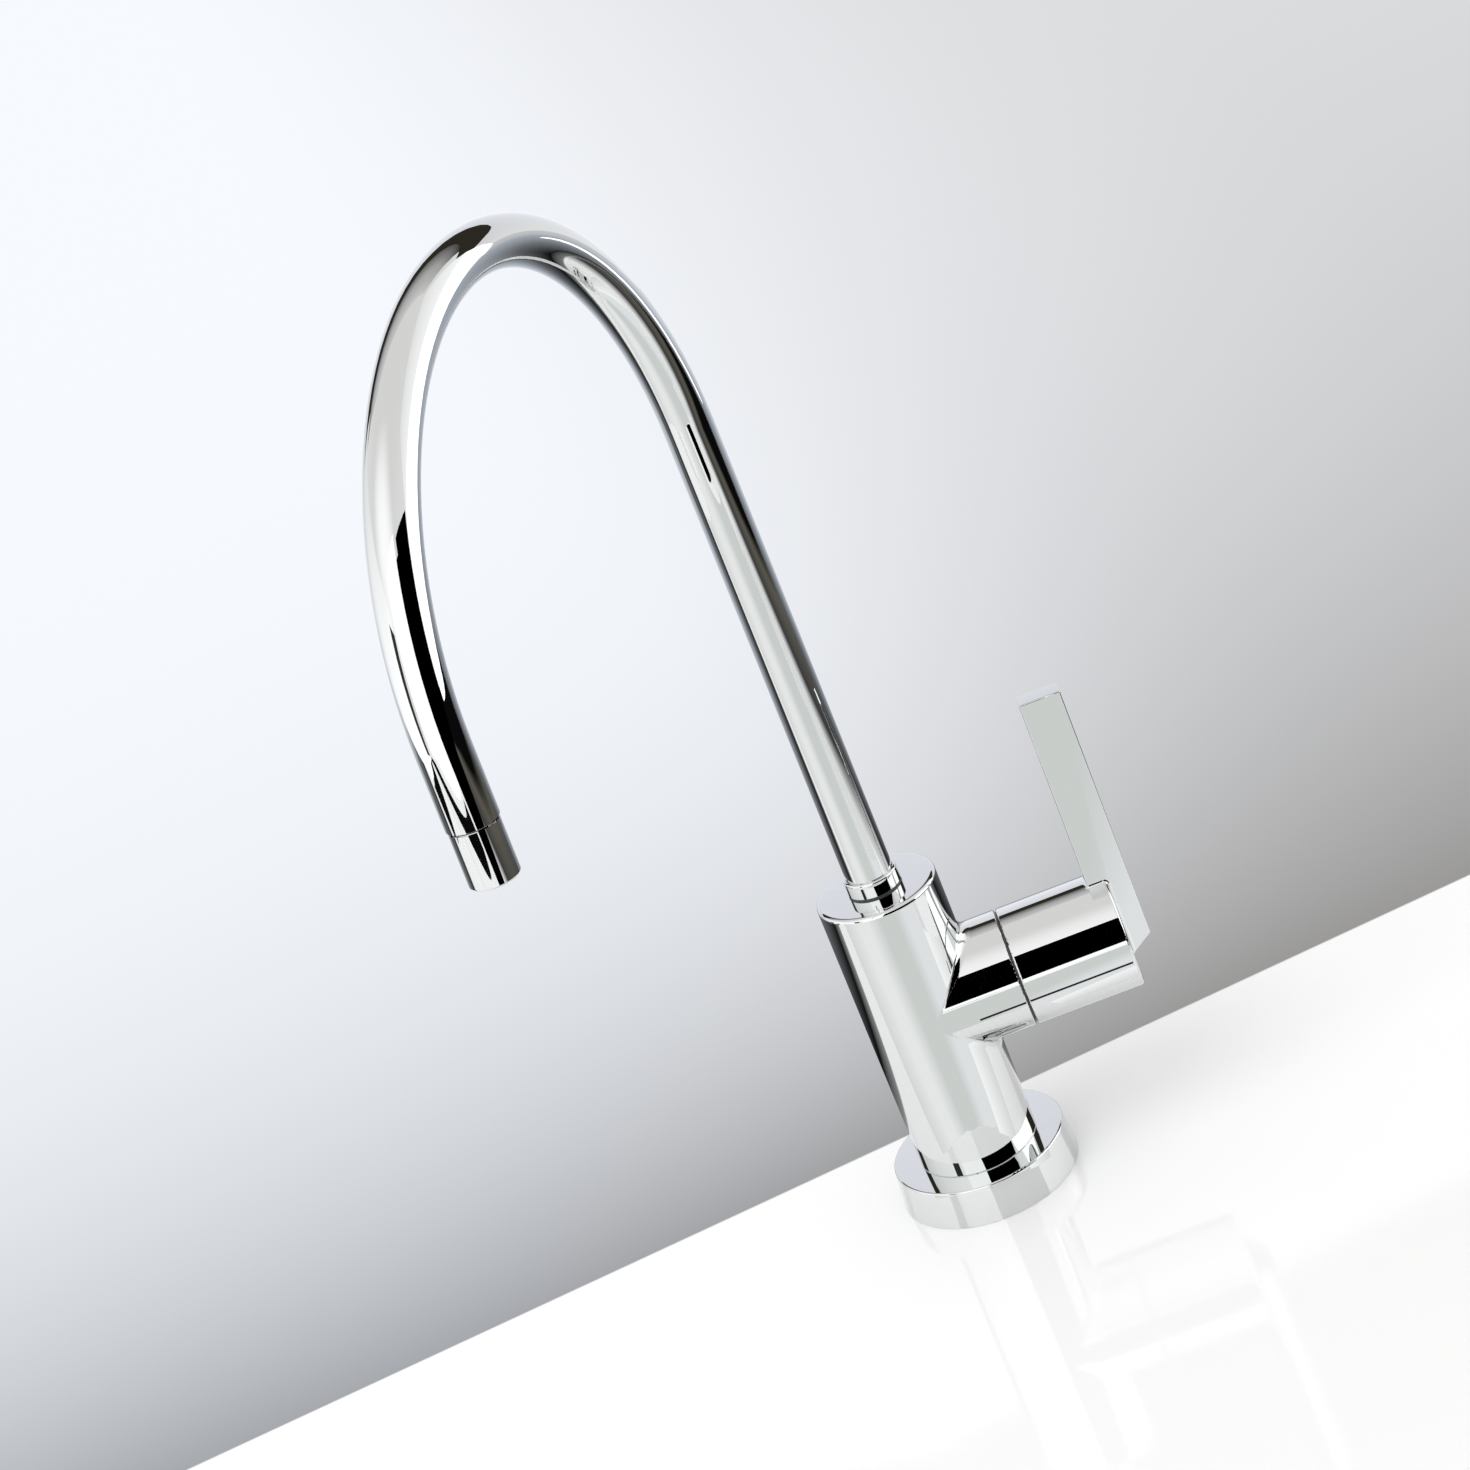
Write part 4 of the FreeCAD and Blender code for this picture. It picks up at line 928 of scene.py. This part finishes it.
@dataclass
class Studio:
    """The deck, the backdrop, the panels that the chrome mirrors, some of them painted light and
    shade, and a soft lamp.

    The deck's and the panels' sizes are in millimetres, the backdrop's fades, the room's and the
    lamp's in metres.
    """

    deck_back: float = 34.8
    deck_turn: float = math.radians(8.55)
    half_room: float = 4.0
    card_height: float = 0.6
    deck_white: Colour = (0.90, 0.905, 0.905)
    deck_gloss: float = 0.05
    floor_height: float = -0.05
    edge_blur: tuple[float, float] = (-0.0002, 0.0008)
    fade_sides: tuple[float, float] = (0.0, 0.18)
    fade_reach: float = 0.15
    fade_growth: float = 0.13
    # The backdrop's colours next to the deck's back edge carry painted shade; back_high holds its
    # colours farther back.
    back_shaded_near_edge: tuple[Colour, Colour] = ((0.38, 0.393, 0.418), (0.325, 0.32, 0.316))
    back_high: tuple[Colour, Colour] = ((0.925, 0.95, 0.995), (0.74, 0.745, 0.76))
    ceiling: tuple[Colour, Colour] = ((0.93, 0.93, 0.94), (0.87, 0.85, 0.84))
    bright_side: Colour = (-0.42, -0.62, 0.66)
    bright_level: Colour = (1.3, 1.3, 1.3)
    lamp_place: Colour = (-0.5, -0.5, 1.3)
    lamp_size: tuple[float, float] = (1.2, 0.9)
    lamp_power: float = 6.1

    def on_deck(self, along: float, behind: float) -> Colour:
        """Give a place by its way along the deck's back edge and behind it.

        Args:
            along: how far along the edge, in millimetres.
            behind: how far behind the edge, in millimetres.

        Returns:
            The place, in millimetres, at the height where flat panels lie.
        """
        cosine, sine = math.cos(self.deck_turn), math.sin(self.deck_turn)
        start = self.deck_back * cosine + behind
        return (along * cosine - start * sine, along * sine + start * cosine, self.card_height)

    def strip(self, name: str, sides: tuple[float, float], depths: tuple[float, float],
              colours: tuple[Colour, Colour, Colour, Colour]) -> Panel:
        """Lay a panel flat along the deck's back edge.

        Args:
            name: the panel's name.
            sides: where it starts and ends along the edge.
            depths: where it starts and ends behind the edge.
            colours: its corners' colours, the two nearer ones first.

        Returns:
            The panel.
        """
        return Panel(name, (self.on_deck(sides[0], depths[0]), self.on_deck(sides[1], depths[0]),
                            self.on_deck(sides[1], depths[1]), self.on_deck(sides[0], depths[1])),
                     colours)

    def painted_light_sector(self, name: str, bearings: tuple[float, float], reach: tuple[float, float],
               colours: tuple[Colour, Colour]) -> Panel:
        """Lay a panel of painted light and shade flat on the deck between two bearings from the
        faucet.

        Args:
            name: the panel's name.
            bearings: its two sides, in degrees from straight behind, to the right.
            reach: its nearer and its farther end, in millimetres.
            colours: the colours of its two sides.

        Returns:
            The panel.
        """
        corners = []
        for bearing, far in ((0, 0), (1, 0), (1, 1), (0, 1)):
            angle = math.radians(bearings[bearing])
            corners.append((math.sin(angle) * reach[far], math.cos(angle) * reach[far] - 18.0,
                            self.card_height))
        return Panel(name, tuple(corners), (colours[0], colours[1], colours[1], colours[0]))

    def panels(self) -> list[Panel]:
        """List what the chrome mirrors besides the deck.

        Returns:
            The panels of the studio.
        """
        black, near_black, white = grey(0.0), grey(0.004), grey(1.4)
        olive, mist = (0.032, 0.028, 0.021), (0.86, 0.87, 0.94)
        dusk = (0.13, 0.12, 0.10)
        rise, haze, gleam = (0.42, 0.45, 0.51), (0.64, 0.67, 0.74), grey(0.13, -0.05)
        shade, glare, shine = grey(0.88), grey(1.05), (0.97, 0.98, 1.0)
        gloom = (0.775, 0.805, 0.785)
        return [
            Panel("black_card", ((-30, -350, 62), (70, -350, 62), (70, -350, 420),
                                 (-4, -350, 420)), (black,) * 4),
            wall("black_wing", (100, -500), (930, -500), 36, 585, (black,) * 4),
            wall("front_box", (-760, -870), (100, -870), 0, 990,
                 (white, white, grey(1.5), grey(1.5))),
            wall("left_box", (-765, -640), (-765, 60), 0, 640,
                 (grey(1.5), grey(1.4), grey(1.05), grey(1.3))),
            wall("left_wing", (-765, 60), (-765, 620), 0, 640,
                 (grey(1.4), mist, grey(0.92), grey(1.05))),
            Panel("corner_gap", ((-602, -559, 60), (-655, -475, 60), (-695, -405, 480),
                                 (-602, -559, 480)), (grey(0.04),) * 4),
            Panel("left_rim", ((-640, -150, 2), (-745, -640, 2), (-840, -640, 2),
                               (-735, -150, 2)), (near_black,) * 4),
            Panel("front_rim", ((-745, -640, 2), (0, -757, 2), (0, -850, 2),
                                (-760, -735, 2)), (near_black,) * 4),
            wall("right_box", (800, -420), (485, 302), 12, 440, (grey(1.8),) * 4),
            wall("right_box_top", (800, -420), (485, 302), 440, 1010,
                 (grey(1.15), grey(1.2), grey(0.98), grey(0.98))),
            # Painted light and shade on the deck, seen only in the chrome: brighter towards the
            # left front, greyer in front.
            self.painted_light_sector("deck_left_edge", (-96, -124), (36, 480), (shade, glare)),
            self.painted_light_sector("deck_left", (-124, -142), (36, 500), (glare, glare)),
            self.painted_light_sector("deck_left_front", (-142, -168), (36, 600), (glare, gloom)),
            self.painted_light_sector("deck_front", (-168, -198), (36, 480), (gloom, gloom)),
            self.painted_light_sector("deck_right_front", (-198, -216), (36, 300), (gloom, shine)),
            self.painted_light_sector("deck_right", (-216, -240), (36, 190), (shine, shine)),
            # Painted highlight: a bright patch of light thrown from the lever onto the deck, seen
            # only in the chrome.
            self.painted_light_sector("deck_glint", (-240, -272), (33, 155), (grey(1.2), shade)),
            # Painted reflection: a thin dark sheet just in front of and below the hub, seen only by
            # mirrors, draws a dark line along the hub's underside.
            Panel("hub_painted_dark_line", ((12, -20.9, 44.6), (52, -20.9, 44.6), (52, -20.1, 43.8),
                               (12, -20.1, 43.8)), (grey(0.03),) * 4),
            Panel("backdrop_left", ((-1300, 930, 0), (-120, 930, 0), (-120, 930, 690),
                                    (-1300, 930, 450)),
                  (grey(0.8, -0.03), (1.06, 1.08, 1.14), mist, grey(0.78, -0.03))),
            Panel("backdrop_right", ((-120, 930, 0), (1450, 930, 0), (1450, 930, 470),
                                     (-120, 930, 690)),
                  ((1.06, 1.08, 1.14), grey(0.9, 0.01), grey(0.82), mist)),
            wall("picture_rail", (-1100, 935), (1450, 935), 400, 960, (olive,) * 4),
            wall("shade_low", (-1400, 935), (1070, 935), 960, 1350,
                 (grey(0.3), olive, grey(0.44, 0.02), grey(0.6))),
            wall("shade_high", (-1400, 935), (1070, 935), 1350, 2050,
                 (grey(0.6), grey(0.44, 0.02), grey(0.74, 0.01), grey(0.78))),
            # Painted shade behind the deck's back edge, seen only in the chrome: black at the edge,
            # where the backdrop lies in the deck's shadow, and paler farther back.
            self.strip("gap_edge", (-900, 800), (3, 34),
                       (grey(0.5), grey(0.04), near_black, near_black)),
            self.strip("gap_rise", (-260, 170), (34, 117), (near_black, near_black, gleam, gleam)),
            self.strip("gap_rise_left", (-900, -260), (34, 117), (near_black, near_black, gleam, gleam)),
            self.strip("gap_rise_right", (170, 800), (34, 117), (near_black, rise, rise, gleam)),
            self.strip("gap_middle", (-260, 170), (117, 250), (gleam, gleam, rise, rise)),
            self.strip("gap_middle_left", (-430, -260), (117, 250),
                       (gleam, gleam, rise, grey(0.2))),
            self.strip("gap_far_left", (-900, -430), (117, 250),
                       (gleam, gleam, grey(0.1), grey(0.3))),
            self.strip("gap_middle_right", (170, 800), (117, 250),
                       (gleam, rise, rise, rise)),
            self.strip("gap_back", (-260, 170), (250, 400), (rise, rise, haze, haze)),
            self.strip("gap_back_left", (-900, -260), (250, 400),
                       (grey(0.3), rise, haze, grey(0.5))),
            self.strip("gap_back_right", (170, 800), (250, 400), (rise, rise, haze, haze)),
            self.strip("gap_end", (-900, 800), (400, 880), (haze, haze, mist, mist)),
            self.strip("deck_fade", (172, 265), (-1000, 0),
                       (grey(0.92), grey(0.055), grey(0.055), grey(0.92))),
            self.strip("deck_dusk", (265, 400), (-1000, 0),
                       (grey(0.055), dusk, dusk, grey(0.055))),
            self.strip("deck_dark", (400, 460), (-1000, 0), (dusk, near_black, near_black, dusk)),
            self.strip("deck_black", (460, 950), (-1000, 0), (near_black,) * 4),
        ]

    def floor_material(self) -> bpy.types.Material:
        """Paint the deck white up to its back edge, and the backdrop beyond it grey with painted
        shade.

        Returns:
            The floor's material.
        """
        material, shader = new_material("deck_and_backdrop")
        x, y, _ = shader.axes()
        cosine, sine = math.cos(self.deck_turn), math.sin(self.deck_turn)
        behind = y * cosine - x * sine - self.deck_back * MM * cosine
        along = x * cosine + y * sine
        share = behind.step(*self.edge_blur)
        reach = along.step(*self.fade_sides) * self.fade_growth + self.fade_reach
        # Painted shade: the backdrop is dark next to the deck's back edge and pales farther from
        # it.
        far = 1.0 - (behind.larger(0.0) / reach * -1.0).exponent()
        low = shader.blend(along.step(-0.16, 0.1), *self.back_shaded_near_edge)
        high = shader.blend(along.step(-0.05, 0.35), *self.back_high)
        backdrop = shader.add("ShaderNodeEmission", values={
            "Color": shader.blend(far, low, high), "Strength": 1.0})
        deck = shader.add("ShaderNodeBsdfPrincipled", values={
            "Base Color": (*self.deck_white, 1.0), "Roughness": self.deck_gloss})
        both = shader.add("ShaderNodeMixShader", values={
            0: share, 1: deck.outputs[0], 2: backdrop.outputs[0]})
        shader.add("ShaderNodeOutputMaterial", values={"Surface": both.outputs[0]})
        return material

    def lay_floor(self) -> None:
        """Lay the floor."""
        mesh = bpy.data.meshes.new("floor")
        reach = self.half_room
        height = self.floor_height * MM
        mesh.from_pydata([(-reach, -reach, height), (reach, -reach, height),
                          (reach, reach, height), (-reach, reach, height)], [], [(0, 1, 2, 3)])
        floor = bpy.data.objects.new("floor", mesh)
        bpy.context.scene.collection.objects.link(floor)
        mesh.materials.append(self.floor_material())

    def fill_world(self) -> None:
        """Fill the room with plain pale light."""
        world = bpy.data.worlds.new("room")
        bpy.context.scene.world = world
        world.use_nodes = True
        shader = Shader(world.node_tree)
        direction = shader.add("ShaderNodeTexCoord").outputs["Generated"]
        up = Channel(shader, shader.add("ShaderNodeSeparateXYZ",
                                        values={0: direction}).outputs[2])
        front = Channel(shader, shader.add("ShaderNodeVectorMath", {"operation": "DOT_PRODUCT"}, {
            0: direction, 1: self.bright_side}).outputs["Value"])
        ceiling = shader.blend(up.step(0.3, 0.9), *self.ceiling)
        colour = shader.blend(front.step(0.72, 1.02), ceiling, self.bright_level)
        glow = shader.add("ShaderNodeBackground", values={"Color": colour, "Strength": 1.0})
        shader.add("ShaderNodeOutputWorld", values={"Surface": glow.outputs[0]})

    def hang_lamps(self) -> None:
        """Hang one large soft lamp that mirrors don't see."""
        light = bpy.data.lights.new("soft_lamp", "AREA")
        light.shape = "RECTANGLE"
        light.size, light.size_y = self.lamp_size
        light.energy = self.lamp_power
        lamp = bpy.data.objects.new("soft_lamp", light)
        bpy.context.scene.collection.objects.link(lamp)
        lamp.location = self.lamp_place
        lamp.rotation_euler = (Vector((0, 0, 0)) - lamp.location).to_track_quat(
            "-Z", "Y").to_euler()
        lamp.visible_glossy = False

    def build(self) -> None:
        """Set the studio up."""
        self.lay_floor()
        self.fill_world()
        self.hang_lamps()
        for panel in self.panels():
            panel.hang()


@dataclass
class PhotographersCamera:
    """The camera at the photograph's place, turned and rolled as it was."""

    place: Colour = (0.04481, -0.95928, 0.56654)
    ahead: Colour = (-0.059090, 0.911325, -0.407440)
    right: Colour = (0.932205, -0.095619, -0.349066)
    up: Colour = (0.357066, 0.400444, 0.843893)
    lens: float = 108.016
    sensor: float = 36.0
    nearest: float = 0.01
    farthest: float = 20.0

    def build(self) -> None:
        """Set the camera up and make it the scene's."""
        data = bpy.data.cameras.new("camera")
        data.lens = self.lens
        data.sensor_width = self.sensor
        data.clip_start = self.nearest
        data.clip_end = self.farthest
        camera = bpy.data.objects.new("camera", data)
        bpy.context.scene.collection.objects.link(camera)
        turn = Matrix((self.right, self.up, tuple(-part for part in self.ahead))).transposed()
        camera.matrix_world = Matrix.Translation(Vector(self.place)) @ turn.to_4x4()
        bpy.context.scene.camera = camera
        LOG.info("placed the camera")


def main() -> None:
    """Build every sub-assembly, the studio and the camera."""
    logging.basicConfig(level=logging.INFO, format="%(name)s: %(message)s")
    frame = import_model()
    nodes = frame["nodes"]
    bpy.context.scene.view_settings.view_transform = "Standard"
    finishes = Finishes()
    for group in (FootAndBody, Cartridge, Handle, Spout, DeckFixing):
        group(finishes).build(nodes)
    Studio().build()
    PhotographersCamera().build()


if __name__ == "__main__":
    main()
